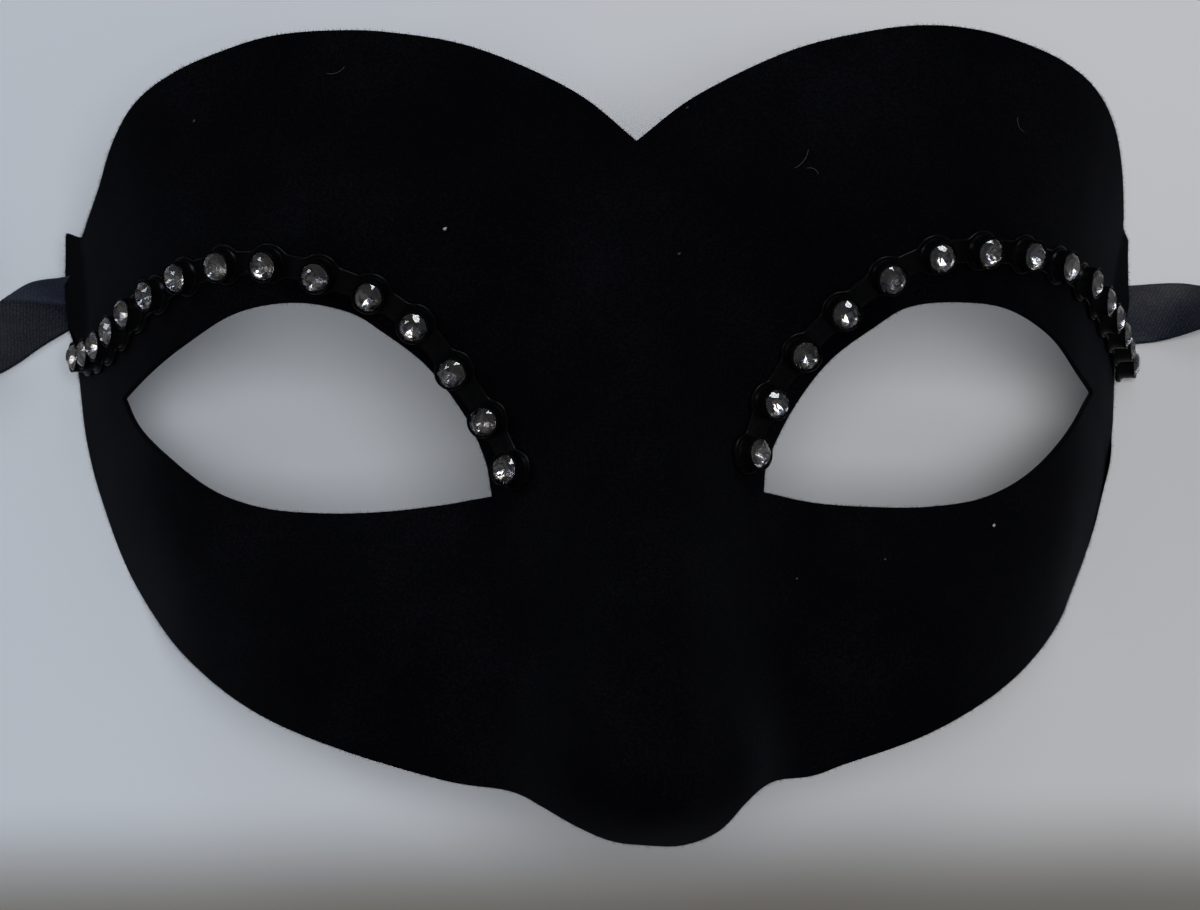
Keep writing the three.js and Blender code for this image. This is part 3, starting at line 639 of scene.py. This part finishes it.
def ribbon_route(r):
    """Points and the direction across the ribbon along its whole length, before CENTRE."""
    side, lean, y0, half = r["side"], r["lean"], r["y"], RIBBON_T / 2
    pts, acr = [], []
    shift = CENTRE
    for s in (93, 96, 99, 102):
        n = normal(side * s, y0)
        p = set_down(face(side * s, y0) - n * (WALL + 0.3 + half))
        down = unit(turned(face(side * (s + 1), y0) - face(side * s, y0)))
        pts.append(p)
        acr.append(np.cross(turned(n), down))
    lie = [np.array([x, y, half]) + shift for x, y in r["floor"]]
    a, d0 = pts[-1], unit(turned(face(side * 103, y0) - face(side * 102, y0)))
    b, d1 = lie[0], unit(lie[1] - lie[0])
    up0 = turned(normal(side * 102, y0))
    reach = np.linalg.norm(a - b) * 0.45
    for t in (0.3, 0.55, 0.8):
        u = 1 - t
        p = a * u ** 3 + (a + d0 * reach) * 3 * u * u * t + (b - d1 * reach) * 3 * u * t * t + b * t ** 3
        up = unit(up0 * u + np.array([0, 0, 1.0]) * t)
        al = d0 * u + d1 * t
        al = unit(al - up * np.dot(al, up))
        ac = np.cross(up, al)
        p[2] = max(p[2], abs(ac[2]) * RIBBON_W / 2 + half)
        pts.append(p)
        acr.append(ac)
    touch = np.array([*r["touch"], 0.0]) + shift
    centre = np.array([*r["roll"], 0.0]) + shift
    line = lie + [touch]
    tw = r["twist"]                                  # share of a right angle that the ribbon has turned
    for i, p in enumerate(lie):
        al = unit(line[i + 1] * [1, 1, 0] - line[max(i - 1, 0)] * [1, 1, 0])
        w = tw[i] * math.pi / 2
        flat = np.cross([0, 0, 1.0], al)
        ac = flat * math.cos(w) + np.array([0, 0, 1.0]) * lean * math.sin(w)
        q = p.copy()
        q[2] = half * math.cos(w) + RIBBON_W / 2 * math.sin(w)
        pts.append(q)
        acr.append(ac)
    # the spiral, turning to the right of the ribbon's way
    a0 = math.atan2(touch[1] - centre[1], touch[0] - centre[0])
    steps = int(TURNS * 40)
    for k in range(steps + 1):
        f = k / steps
        rad = SPIRAL_OUT + (SPIRAL_IN - SPIRAL_OUT) * f
        ang = a0 - f * TURNS * 2 * math.pi
        pts.append(np.array([centre[0] + rad * math.cos(ang), centre[1] + rad * math.sin(ang), RIBBON_W / 2 + 0.05]))
        acr.append(np.array([0, 0, float(lean)]))
    return np.array(pts), unit(np.array(acr)), centre, a0


def make_ribbon(side, r):
    pts, acr, centre, a0 = ribbon_route(r)
    n_head = 4 + 3 + len(r["floor"])
    head = spline(pts[:n_head + 3], 8)
    head_ac = unit(spline(acr[:n_head + 3], 8))
    keep = n_head * 8
    line = np.vstack([head[:keep], pts[n_head:]])
    ac = np.vstack([head_ac[:keep], acr[n_head:]])
    run = np.concatenate([[0], np.cumsum(np.linalg.norm(np.diff(line, axis=0), axis=1))])
    # even out the steps
    step = 0.8
    t = np.linspace(0, run[-1], int(run[-1] / step))
    p = np.stack([np.interp(t, run, line[:, k]) for k in range(3)], 1)
    a = unit(np.stack([np.interp(t, run, ac[:, k]) for k in range(3)], 1))
    al = unit(np.gradient(p, axis=0))
    a = unit(a - al * (a * al).sum(1, keepdims=True))
    up = unit(np.cross(al, a))
    # section: a thin band with woven edges a little thicker than its middle
    across = np.array([-5.0, -4.93, -4.6, -4.2, -3.4, -2.2, -1.0, 0, 1.0, 2.2, 3.4, 4.2, 4.6, 4.93, 5.0]) * RIBBON_W / 10
    thick = np.array([0.05, 0.16, 0.19, 0.13, 0.12, 0.12, 0.12, 0.12, 0.12, 0.12, 0.12, 0.13, 0.19, 0.16, 0.05])
    m = len(p)
    ripple = np.array([[0.05 * math.sin(0.9 * x + 0.5 * w) * math.sin(0.23 * x + w) for w in across] for x in t])
    ripple *= smooth((t - 12) / 6)[:, None]
    top = np.stack([np.tile(across, (m, 1)), thick[None] + ripple], -1)
    low = np.stack([np.tile(across[::-1], (m, 1)), -thick[None, ::-1] + ripple[:, ::-1]], -1)
    section = np.concatenate([top, low], 1)
    t0 = float(t[np.where(np.abs(p[:int(60 / step), 0]) < 84.8)[0][-1]])
    if r["side"] < 0:
        # a slanting crease: beside the tab the side towards the forehead still rises to the tab
        crease = CREASE_AT + (t - t0) * CREASE_SLOPE
        beta = np.radians(65 - 50 * smooth((-84.8 - p[:, 0]) / 6.5)) * smooth((-81.0 - p[:, 0]) / 2.2)
        over = -section[..., 0] - crease[:, None]
        soft = np.where(over > 0, np.sqrt(over ** 2 + 0.16) - 0.4, 0.0)
        keep_ = np.minimum(-section[..., 0], crease[:, None] + np.maximum(over - soft, 0))
        section[..., 0] = -(keep_ + soft * np.cos(beta)[:, None])
        section[..., 1] += soft * np.sin(beta)[:, None]
    v, f = sweep(p, a, up, section)
    k = section.shape[1]
    uv = np.zeros((len(v), 2))
    uv[:, 0] = np.repeat(t - t0, k)
    uv[:, 1] = np.tile(np.concatenate([across, across[::-1]]), m)
    v[:, 2] = np.maximum(v[:, 2], 0.02)
    ob = new_object(f"ribbon_tie_{side}", v, outward(v, f), uv)
    ob.data.materials.append(RIBBON[side])
    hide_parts(f"ribbon_{side}", f"ribbon_{side}_roll")
    # a small tie holds the roll: a thin flat loop round all its turns, with a knot on top
    ang = a0 - math.radians(205)
    rad = np.array([math.cos(ang), math.sin(ang), 0])
    tan = np.array([-math.sin(ang), math.cos(ang), 0])
    lo, hi, top_z = SPIRAL_IN - 1.0, SPIRAL_OUT + 1.0, RIBBON_W + 0.35
    corner = [[lo, 0.15], [hi, 0.15], [hi + 0.5, 1.2], [hi + 0.5, top_z - 0.9], [hi - 0.4, top_z], [lo + 0.4, top_z], [lo - 0.5, top_z - 0.9], [lo - 0.5, 1.2]]
    loop = spline(corner, 6, True)
    loop[:, 1] = np.maximum(loop[:, 1], 0.12)
    q = centre + rad * loop[:, :1] + np.array([0, 0, 1.0]) * loop[:, 1:]
    tang = unit(np.roll(q, -1, 0) - np.roll(q, 1, 0))
    out = unit(np.cross(tang, tan))
    sec = [(1.0 * math.cos(x), 0.10 * math.sin(x)) for x in np.linspace(0, 2 * math.pi, 10, endpoint=False)]
    tv = (q[:, None] + tan * np.array(sec)[None, :, :1] + out[:, None] * np.array(sec)[None, :, 1:]).reshape(-1, 3)
    nq, ns = len(q), len(sec)
    tf = [(i * ns + j, i * ns + (j + 1) % ns, ((i + 1) % nq) * ns + (j + 1) % ns, ((i + 1) % nq) * ns + j) for i in range(nq) for j in range(ns)]
    # knot: a small bulged drum with two short ends
    kc = centre + rad * (lo + hi) / 2 + np.array([0, 0, top_z + 0.1])
    for (dx, dy, rx, ry, rz) in ((0, 0, 1.3, 0.9, 0.55), (2.0, 0.7, 1.5, 0.45, 0.12), (-1.9, -0.8, 1.5, 0.45, 0.12)):
        base = len(tv)
        vs = []
        for i in range(9):
            phi = math.pi * i / 8
            for j in range(14):
                th = 2 * math.pi * j / 14
                bulge = 1 + 0.06 * math.sin(5 * th + 3 * phi)
                e = np.array([rx * math.sin(phi) * math.cos(th), ry * math.sin(phi) * math.sin(th), rz * math.cos(phi)]) * bulge
                vs.append(kc + rad * (e[0] + dx) + tan * (e[1] + dy) + np.array([0, 0, e[2] + 0.1]))
        tv = np.vstack([tv, np.array(vs)])
        for i in range(8):
            for j in range(14):
                p1, p2 = base + i * 14 + j, base + i * 14 + (j + 1) % 14
                tf.append((p1, p1 + 14, p2 + 14, p2))
    tie = new_object(f"ribbon_roll_band_{side}", tv, tf)
    tie.data.materials.append(TIE)
    return ob


for side, r in ROUTES.items():
    make_ribbon(side, r)


# ------------------------------------------------------------------ mask shell
CORNERS = np.vstack([rows(TOP_EDGE, side)[[0, -1]] for side in (1, -1)])
LOOPS = [even(OUTLINE, 0.5, CORNERS), even(EYE_R, 0.45, rows(EYE, 1)[[0, INNER_CORNER]]),
         even(EYE_L, 0.45, rows(EYE, -1)[[0, INNER_CORNER]])]
RINGS = [0.09, 0.22, 0.42, 0.7, 1.1]
RIM, THINNER = 0.28, 0.62


def make_shell():
    pts = [LOOPS[0], LOOPS[1], LOOPS[2]]
    sizes = [len(l) for l in LOOPS]
    for d in RINGS:
        for loop in LOOPS:
            tang = unit(np.roll(loop, -1, 0) - np.roll(loop, 1, 0))
            side = np.stack([-tang[:, 1], tang[:, 0]], 1)
            for sgn in (1, -1):
                q = loop + side * d * sgn
                ok = inside(q[:40], LOOPS)
                if ok.mean() > 0.5:
                    break
            ok = inside(q, LOOPS) & (distance(q, LOOPS) > 0.93 * d)
            pts.append(q[ok])
    cell = 0.84
    rise = cell * math.sqrt(3) / 2
    rows = int(120 / rise)
    lattice = []
    for j in range(rows):
        x = (np.arange(int(240 / cell)) - 120 / cell + (0.5 if j % 2 else 0)) * cell
        lattice.append(np.stack([x, np.full(len(x), -57.0 + j * rise)], 1))
    lattice = np.vstack(lattice)
    lattice = lattice[inside(lattice, LOOPS)]
    dist = distance(lattice, LOOPS)
    lattice = lattice[dist > 1.1 + 0.45]
    pts.append(lattice)
    pts = np.vstack(pts)
    edges, start = [], 0
    for n in sizes:
        edges += [(start + i, start + (i + 1) % n) for i in range(n)]
        start += n
    out = geometry.delaunay_2d_cdt([Vector(p) for p in pts], edges, [], 0, 1e-6)
    co, tris = np.array([list(v) for v in out[0]]), np.array([list(f) for f in out[2] if len(f) == 3])
    mid = co[tris].mean(1)
    near = inside(mid, LOOPS)
    tris = tris[near]
    area = np.cross(co[tris[:, 1]] - co[tris[:, 0]], co[tris[:, 2]] - co[tris[:, 0]])
    tris = tris[np.abs(area) > 1e-7]
    area = area[np.abs(area) > 1e-7]
    tris[area < 0] = tris[area < 0][:, ::-1]
    used = np.unique(tris)
    remap = -np.ones(len(co), int)
    remap[used] = np.arange(len(used))
    co, tris = co[used], remap[tris]
    d = distance(co, LOOPS)
    drop = RIM - np.sqrt(np.maximum(RIM ** 2 - (RIM - np.minimum(d, RIM)) ** 2, 0))
    rise_in = THINNER * (1 - smooth(d / 2.6))            # the wall is drawn thinner towards every cut edge
    wave = np.array([noise.noise(Vector((s * 0.06, y * 0.06, 3.1))) for s, y in co]) * 0.12
    outer = at(co[:, 0], co[:, 1], -drop + wave)
    inner = at(co[:, 0], co[:, 1], -WALL + rise_in + wave)
    outer, inner = grounded(outer), grounded(inner)
    n = len(co)
    count = {}
    for t in tris:
        for k in range(3):
            count[(t[k], t[(k + 1) % 3])] = True
    rim = [(a, b) for a, b in count if (b, a) not in count]
    faces = [tuple(t) for t in tris] + [tuple(n + i for i in reversed(t)) for t in tris]
    mats = [0] * len(tris) + [1] * len(tris)
    for a, b in rim:
        faces.append((b, a, n + a, n + b))
        mats.append(0)
    ob = new_object("flocked_mask_shell", np.vstack([outer, inner]), faces)
    ob.data.materials.append(FLOCK)
    ob.data.materials.append(INSIDE)
    if len(ob.data.polygons) == len(mats):
        ob.data.polygons.foreach_set("material_index", mats)
    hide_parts("mask_shell")
    print("shell", len(ob.data.vertices), "points", len(ob.data.polygons), "faces", len(rim), "rim")
    return ob


make_shell()


# ------------------------------------------------------------------ flock fibres along the cut edges
def spikes(name, base, direction, length, width, material):
    """Thin closed four-sided splinters, each from its base along its direction."""
    n = len(base)
    direction = unit(direction)
    helper = np.where(np.abs(direction[:, 2:]) < 0.9, [[0, 0, 1.0]], [[1.0, 0, 0]])
    a = unit(np.cross(direction, helper))
    b = np.cross(direction, a)
    v = np.zeros((n, 4, 3))
    for k in range(3):
        ang = 2 * math.pi * k / 3
        v[:, k] = base + (a * math.cos(ang) + b * math.sin(ang)) * width[:, None]
    v[:, 3] = base + direction * length[:, None]
    v[..., 2] = np.maximum(v[..., 2], 0.0)
    faces = []
    for i in range(n):
        o = 4 * i
        faces += [(o, o + 1, o + 3), (o + 1, o + 2, o + 3), (o + 2, o, o + 3), (o, o + 2, o + 1)]
    ob = new_object(name, v.reshape(-1, 3), faces, smooth_faces=False)
    ob.data.materials.append(material)
    return ob


def make_fuzz():
    base, direc, length, width = [], [], [], []
    for loop in LOOPS:
        fine = resample(loop, 0.125, True)
        tang = unit(np.roll(fine, -1, 0) - np.roll(fine, 1, 0))
        side = np.stack([-tang[:, 1], tang[:, 0]], 1)
        q = fine + side * 0.2
        sgn = 1.0 if inside(q[:60], LOOPS).mean() > 0.5 else -1.0
        m = len(fine)
        off = rng.uniform(0.02, 0.35, m)
        p = fine + side * sgn * off[:, None]
        lift = -(RIM - np.sqrt(np.maximum(RIM ** 2 - (RIM - np.minimum(off, RIM)) ** 2, 0)))
        pos = grounded(at(p[:, 0], p[:, 1], lift - 0.03))
        out2 = -side * sgn
        e = 0.2
        tip = at(p[:, 0] + out2[:, 0] * e, p[:, 1] + out2[:, 1] * e, np.zeros(m)) - at(p[:, 0], p[:, 1], np.zeros(m))
        nrm = turned(normal(p[:, 0], p[:, 1]))
        w = rng.uniform(0.1, 1.0, m)[:, None]
        dvec = unit(tip) * w + nrm * (1 - w * 0.55) + rng.normal(0, 0.35, (m, 3))
        base.append(pos)
        direc.append(dvec)
        length.append(rng.uniform(0.22, 0.62, m))
        width.append(rng.uniform(0.022, 0.042, m))
    ob = spikes("flock_edge_fibres", np.vstack(base), np.vstack(direc), np.concatenate(length), np.concatenate(width), FLOCK)
    print("fibres", len(ob.data.polygons))


make_fuzz()


# ------------------------------------------------------------------ lint on the flocking
def make_lint():
    """Small irregular grains (s, y, size) and short curled hairs (s, y, length, heading)."""
    def blob(place, along, across, up, size):
        v, f, n, m = [], [], 6, 8
        for i in range(n + 1):
            phi = math.pi * i / n
            for j in range(m):
                th = 2 * math.pi * j / m
                r = size / 2 * (1 + 0.22 * math.sin(3 * th + 2 * phi + 9 * size))
                v.append(place + r * (1.25 * math.sin(phi) * math.cos(th) * along + 0.85 * math.sin(phi) * math.sin(th) * across + 0.7 * math.cos(phi) * up))
        for i in range(n):
            for j in range(m):
                a, b_ = i * m + j, i * m + (j + 1) % m
                f.append((a, a + m, b_ + m, b_))
        return v, f

    def grains(name, rows_, material):
        allv, allf = [], []
        for s, y, size in rows_:
            up = turned(normal(s, y))
            along = unit(turned(face(s + 0.3, y + 0.2) - face(s - 0.3, y - 0.2)))
            v, f = blob(at(s, y, 0.15 + size * 0.2), along, np.cross(up, along), up, size)
            allf += [tuple(i + len(allv) for i in q) for q in f]
            allv += v
        ob = new_object(name, np.array(allv), allf)
        ob.data.materials.append(material)

    grains("lint_grains", [(-26.1, 30.6, 0.50), (55.5, -11.2, 0.46)], LINT)
    grains("dull_lint_grains", [(5.8, 26.9, 0.42), (-62.7, 46.8, 0.40), (22.8, -18.1, 0.36), (7.3, 47.5, 0.34), (36.5, -15.7, 0.34)], DIM)
    allv, allf = [], []
    for s, y, length, heading, curl in ((22.9, 40.3, 3.4, 0.9, 0.5), (57.2, 46.5, 2.6, 2.2, -0.7), (-40.3, 53.1, 2.8, 0.3, 0.6), (24.6, 38.6, 2.0, 2.6, 0.8)):
        steps = 12
        a = heading + curl * (np.arange(steps + 1) / steps - 0.5) * 2
        step = length / steps
        q = np.array([s, y]) + np.cumsum(np.stack([np.cos(a), np.sin(a)], 1) * step, 0) - np.array([math.cos(heading), math.sin(heading)]) * length / 2
        pts = at(q[:, 0], q[:, 1], np.full(steps + 1, 0.22))
        up = turned(normal(q[:, 0], q[:, 1]))
        al = unit(np.gradient(pts, axis=0))
        ac = unit(np.cross(up, al))
        sec = np.tile(np.array([(0.045 * math.cos(x), 0.045 * math.sin(x)) for x in (0, 1.257, 2.513, 3.770, 5.027)]), (steps + 1, 1, 1))
        v, f = sweep(pts, ac, up, sec)
        f = outward(v, f)
        allf += [tuple(i + len(allv) for i in k) for k in f]
        allv += list(v)
    ob = new_object("lint_hairs", np.array(allv), allf)
    ob.data.materials.append(DIM)


make_lint()

# ------------------------------------------------------------------ stone banding
# (s, y) of the start, of each stone and of the end
STRIPS = {
    "left": dict(side=-1, path=[[15.0, -5.3], [16.3, -2.6], [19.7, 4.4], [24.7, 11.4], [30.2, 17.8], [36.4, 22.1], [43.7, 24.9], [51.2, 26.5],
                                [58.6, 26.6], [66.2, 25.2], [73.0, 22.9], [79.2, 20.4], [84.9, 18.0], [90.3, 16.0], [95.5, 15.0], [100.6, 14.7], [104.5, 14.6]], tail=START),
    "right": dict(side=1, path=[[13.8, -3.35], [15.1, -0.6], [18.3, 6.7], [23.2, 13.6], [29.1, 19.5], [35.7, 24.5], [42.8, 27.5], [50.5, 28.3],
                                [58.8, 28.1], [67.2, 26.9], [75.6, 24.9], [82.9, 22.4], [89.4, 20.0], [96.3, 17.8], [102.4, 15.8], [107.2, 13.5], [111.0, 12.0]], tail=0.9),
}


def strip_line(strip):
    line = spline(strip["path"], 60) * [strip["side"], 1]
    p = face(line[:, 0], line[:, 1])
    run = np.concatenate([[0], np.cumsum(np.linalg.norm(np.diff(p, axis=0), axis=1))])
    strip["stops"] = run[60:-1:60]

    def frames(d):
        d = np.atleast_1d(np.asarray(d, float))
        s, y = np.interp(d, run, line[:, 0]), np.interp(d, run, line[:, 1])
        s1, y1 = np.interp(d + 0.35, run, line[:, 0]), np.interp(d + 0.35, run, line[:, 1])
        s0, y0 = np.interp(d - 0.35, run, line[:, 0]), np.interp(d - 0.35, run, line[:, 1])
        along = unit(turned(face(s1, y1) - face(s0, y0)))
        up = turned(normal(s, y))
        along = unit(along - up * (along * up).sum(1, keepdims=True))
        return set_down(face(s, y)), along, np.cross(up, along), up

    return frames


def stops(strip):
    return strip["stops"][:STONES]


def lathe(profile, sides):
    """A turned closed profile, from the axis back to the axis, as points and faces."""
    v, f, rings = [], [], []
    for r, z in profile:
        if r < 1e-6:
            rings.append([len(v)])
            v.append((0, 0, z))
        else:
            rings.append(list(range(len(v), len(v) + sides)))
            v += [(r * math.cos(2 * math.pi * k / sides), r * math.sin(2 * math.pi * k / sides), z) for k in range(sides)]
    for a, b in zip(rings[:-1], rings[1:]):
        for k in range(sides):
            k2 = (k + 1) % sides
            if len(a) == 1 and len(b) == 1:
                continue
            if len(a) == 1:
                f.append((a[0], b[k2], b[k]))
            elif len(b) == 1:
                f.append((a[k], a[k2], b[0]))
            else:
                f.append((a[k], a[k2], b[k2], b[k]))
    v = np.array(v, float)
    return v, outward(v, f)


CUP_PROFILE = [(0, 0.62), (2.50, 0.62), (2.52, 1.12), (2.46, 1.30), (2.36, 1.42), (2.30, 1.62), (2.29, 2.5), (2.30, 3.0), (2.33, 3.22),
               (2.36, 3.30), (2.36, 3.36), (2.32, 3.42), (2.25, 3.43), (2.18, 3.40), (2.13, 3.32), (2.10, 3.20), (2.09, 3.0), (2.07, 2.6), (1.4, 1.95), (0, 1.75)]


def half_width(t, stop):
    """Half width of the scalloped flange at each run t."""
    w = np.full(len(t), 1.75)
    w[t < stop[0]] = 0.95                             # the end is rounded
    w[t > stop[-1]] = 0.95
    for d in stop:
        x = np.abs(t - d)
        w = np.maximum(w, np.where(x < 2.95, np.sqrt(np.maximum(2.95 ** 2 - x ** 2, 0)), 0))
    # soften the inner corners between the scallops
    k = np.array([1, 2, 3, 2, 1]) / 9
    return np.convolve(np.pad(w, 2, mode="edge"), k, mode="valid")


def make_strip(side, strip):
    frames, stop = strip_line(strip), stops(strip)
    t = np.arange(stop[0] - START, stop[-1] + strip["tail"] + 1e-6, 0.22)
    p, al, ac, up = frames(t)
    w = half_width(t, stop)
    lo, hi = 0.42, 1.12
    # section of the flange: a flat underside, a rounded edge and a low bead along its rim
    prof = [(-0.10, lo), (0.0, lo + 0.14), (0.0, hi - 0.20), (0.07, hi - 0.04), (0.20, hi + 0.04), (0.36, hi + 0.04), (0.52, hi - 0.06), (0.75, hi - 0.10)]
    sec = []
    for wi in w:
        right = [(wi - e if e >= 0 else wi + e, z) for e, z in prof]
        right[0] = (wi - 0.10, lo)
        left = [(-x, z) for x, z in reversed(right)]
        sec.append([(x, z) for x, z in right] + left)
    section = np.array(sec)
    v, f = sweep(p, ac, up, section)
    band = new_object(f"banding_{side}", v, outward(v, f))
    cv, cf = lathe(CUP_PROFILE, 40)
    allv, allf = [], []
    for d in stop:
        q, a1, a2, u = (x[0] for x in frames(d))
        base = sum(len(x) for x in allv)
        allv.append(q + cv[:, :1] * a1 + cv[:, 1:2] * a2 + cv[:, 2:] * u)
        allf += [tuple(i + base for i in face_) for face_ in cf]
    cups = new_object(f"cups_{side}", np.vstack(allv), allf, body=None)
    mod = band.modifiers.new("join", "BOOLEAN")
    mod.operation = "UNION"
    mod.solver = "MANIFOLD" if "MANIFOLD" in {i.identifier for i in mod.bl_rna.properties["solver"].enum_items} else "EXACT"
    mod.object = cups
    deps = bpy.context.evaluated_depsgraph_get()
    joined = bpy.data.meshes.new_from_object(band.evaluated_get(deps))
    print("strip", side, mod.solver, len(band.data.polygons), len(cups.data.polygons), "->", len(joined.polygons))
    band.modifiers.clear()
    band.data = joined
    bpy.data.objects.remove(cups)
    band.data.materials.clear()
    band.data.materials.append(BANDING)
    band.data.polygons.foreach_set("use_smooth", [True] * len(band.data.polygons))
    band.data.set_sharp_from_angle(angle=math.radians(38))
    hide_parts(f"trim_strip_{side}")
    return frames, stop


def stone_mesh():
    """A round brilliant: eight-sided table, stars, kites and girdle facets above, pavilion facets below."""
    v = []

    def ring(n, r, z, turn):
        i0 = len(v)
        for k in range(n):
            a = 2 * math.pi * (k + turn) / n
            v.append((r * math.cos(a), r * math.sin(a), z))
        return list(range(i0, i0 + n))

    table_ = ring(8, 1.08, 0.92, 0.0)
    star = ring(8, 1.50, 0.66, 0.5)
    gird = ring(16, STONE_R, 0.17, 0.0)
    gird2 = ring(16, STONE_R, 0.02, 0.0)
    low = ring(8, 1.05, -0.62, 0.5)
    v.append((0, 0, -1.18))
    culet = len(v) - 1
    top, back = [tuple(table_)], []
    for k in range(8):
        k1 = (k + 1) % 8
        top.append((table_[k], star[k], table_[k1]))
        top.append((table_[k], star[k - 1], gird[2 * k], star[k]))
        top.append((star[k], gird[2 * k], gird[2 * k + 1]))
        top.append((star[k], gird[2 * k + 1], gird[(2 * k + 2) % 16]))
    for k in range(16):
        top.append((gird[k], gird2[k], gird2[(k + 1) % 16], gird[(k + 1) % 16]))
    for k in range(8):
        back.append((gird2[2 * k], low[k - 1], culet, low[k]))
        back.append((gird2[2 * k], low[k], gird2[2 * k + 1]))
        back.append((gird2[2 * k + 1], low[k], gird2[(2 * k + 2) % 16]))
    # gather the crown and pavilion faces, with material 0 for the crown and 1 for the pavilion
    faces, mats = [], []
    for group, m in ((top, 0), (back, 1)):
        for f in group:
            faces.append(f)
            mats.append(m)
    v = np.array(v, float)
    # turn every face outwards, away from the middle of the stone
    mid = np.array([0, 0, -0.05])
    fixed = []
    for f in faces:
        c = v[list(f)].mean(0)
        n = np.cross(v[f[1]] - v[f[0]], v[f[2]] - v[f[0]])
        fixed.append(f if np.dot(n, c - mid) > 0 else tuple(reversed(f)))
    return v, fixed, mats


def make_stones(side, frames, stop):
    v0, faces, mats = stone_mesh()
    for i, d in enumerate(stop):
        q, a1, a2, u = (x[0] for x in frames(d))
        spin = rng.uniform(0, 2 * math.pi)
        tx, ty = rng.normal(0, 0.035, 2)
        c, s = math.cos(spin), math.sin(spin)
        v = np.stack([v0[:, 0] * c - v0[:, 1] * s, v0[:, 0] * s + v0[:, 1] * c, v0[:, 2]], 1)
        v = np.stack([v[:, 0], v[:, 1], v[:, 2] + tx * v[:, 0] + ty * v[:, 1]], 1)
        w = q + v[:, :1] * a1 + v[:, 1:2] * a2 + (v[:, 2:] + STONE_SEAT + 0.05) * u
        ob = new_object(f"rhinestone_{side}_{i + 1:02d}", w, faces, smooth_faces=False)
        ob.data.materials.append(STONE)
        ob.data.materials.append(FOIL)
        if len(ob.data.polygons) == len(mats):
            ob.data.polygons.foreach_set("material_index", mats)
        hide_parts(f"stone_{side}_{i + 1:02d}")


for side, strip in STRIPS.items():
    frames, stop = make_strip(side, strip)
    make_stones(side, frames, stop)


# ------------------------------------------------------------------ floor and light
def make_floor():
    me = bpy.data.meshes.new("floor")
    w = 3.0
    me.from_pydata([(-w, -w, -0.0002), (w, -w, -0.0002), (w, w, -0.0002), (-w, w, -0.0002)], [], [(0, 1, 2, 3)])
    ob = bpy.data.objects.new("floor", me)
    bpy.context.scene.collection.objects.link(ob)
    m, t, b = tree("pale_floor")
    v = coords(t)
    n1 = node(t, "ShaderNodeTexNoise", _Scale=0.02, _Detail=3.0)
    t.links.new(v, n1.inputs["Vector"])
    cut = node(t, "ShaderNodeSeparateXYZ")
    t.links.new(v, cut.inputs[0])
    # painted light: the floor is darker and bluer towards -X and lighter towards +X
    side = node(t, "ShaderNodeMapRange")
    side.inputs["From Min"].default_value = -100.0
    side.inputs["From Max"].default_value = 100.0
    t.links.new(cut.outputs["X"], side.inputs["Value"])
    mix = node(t, "ShaderNodeMath", operation="MULTIPLY_ADD")
    t.links.new(n1.outputs["Fac"], mix.inputs[0])
    mix.inputs[1].default_value = 0.3
    t.links.new(side.outputs["Result"], mix.inputs[2])
    col = ramp(t, [(0.1, (0.465, 0.493, 0.540)), (1.0, (0.545, 0.536, 0.545))])
    t.links.new(mix.outputs[0], col.inputs["Fac"])
    # painted shade: the floor turns darker and warmer towards -Y, below the mask
    near = node(t, "ShaderNodeMapRange", interpolation_type="SMOOTHSTEP")
    near.inputs["From Min"].default_value = -42.0
    near.inputs["From Max"].default_value = -63.0
    t.links.new(cut.outputs["Y"], near.inputs["Value"])
    painted_shadow_mix = node(t, "ShaderNodeMix", data_type="RGBA")
    painted_shadow_mix.inputs[7].default_value = (0.155, 0.144, 0.128, 1.0)
    t.links.new(near.outputs["Result"], painted_shadow_mix.inputs[0])
    t.links.new(col.outputs["Color"], painted_shadow_mix.inputs[6])
    t.links.new(painted_shadow_mix.outputs[2], b.inputs["Base Color"])
    b.inputs["Roughness"].default_value = 0.55
    b.inputs["Specular IOR Level"].default_value = 0.25
    me.materials.append(m)


def area_light(name, place, target, size_x, size_y, power, colour):
    data = bpy.data.lights.new(name, "AREA")
    data.shape = "RECTANGLE"
    data.size, data.size_y = size_x, size_y
    data.energy = power
    data.color = colour
    ob = bpy.data.objects.new(name, data)
    ob.location = place
    ob.rotation_euler = (Vector(target) - Vector(place)).to_track_quat("-Z", "Y").to_euler()
    bpy.context.scene.collection.objects.link(ob)
    return ob


make_floor()
sky = area_light("sky", (0.0, -0.5, 2.3), (0, 0, 0.02), 1.3, 1.0, 38.0, (0.97, 0.985, 1.0))
sky.visible_glossy = False                            # broad light on the cloth and the floor, not seen in the stones
sky.visible_transmission = False
window = area_light("window", (0.45, 1.5, 2.0), (0, 0, 0.02), 1.3, 0.9, 52.0, (0.90, 0.95, 1.0))
window.visible_diffuse = False                        # seen as the bright patch in the stones and on the plastic
area_light("side", (-1.0, 0.35, 0.7), (0, 0, 0.02), 0.4, 0.4, 3.8, (0.90, 0.95, 1.0))
world = bpy.data.worlds.new("world")
bpy.context.scene.world = world
world.use_nodes = True
world.node_tree.nodes["Background"].inputs["Color"].default_value = (0.92, 0.96, 1.0, 1.0)
world.node_tree.nodes["Background"].inputs["Strength"].default_value = 0.21
bpy.context.scene.view_settings.view_transform = "Standard"

bpy.context.view_layer.update()
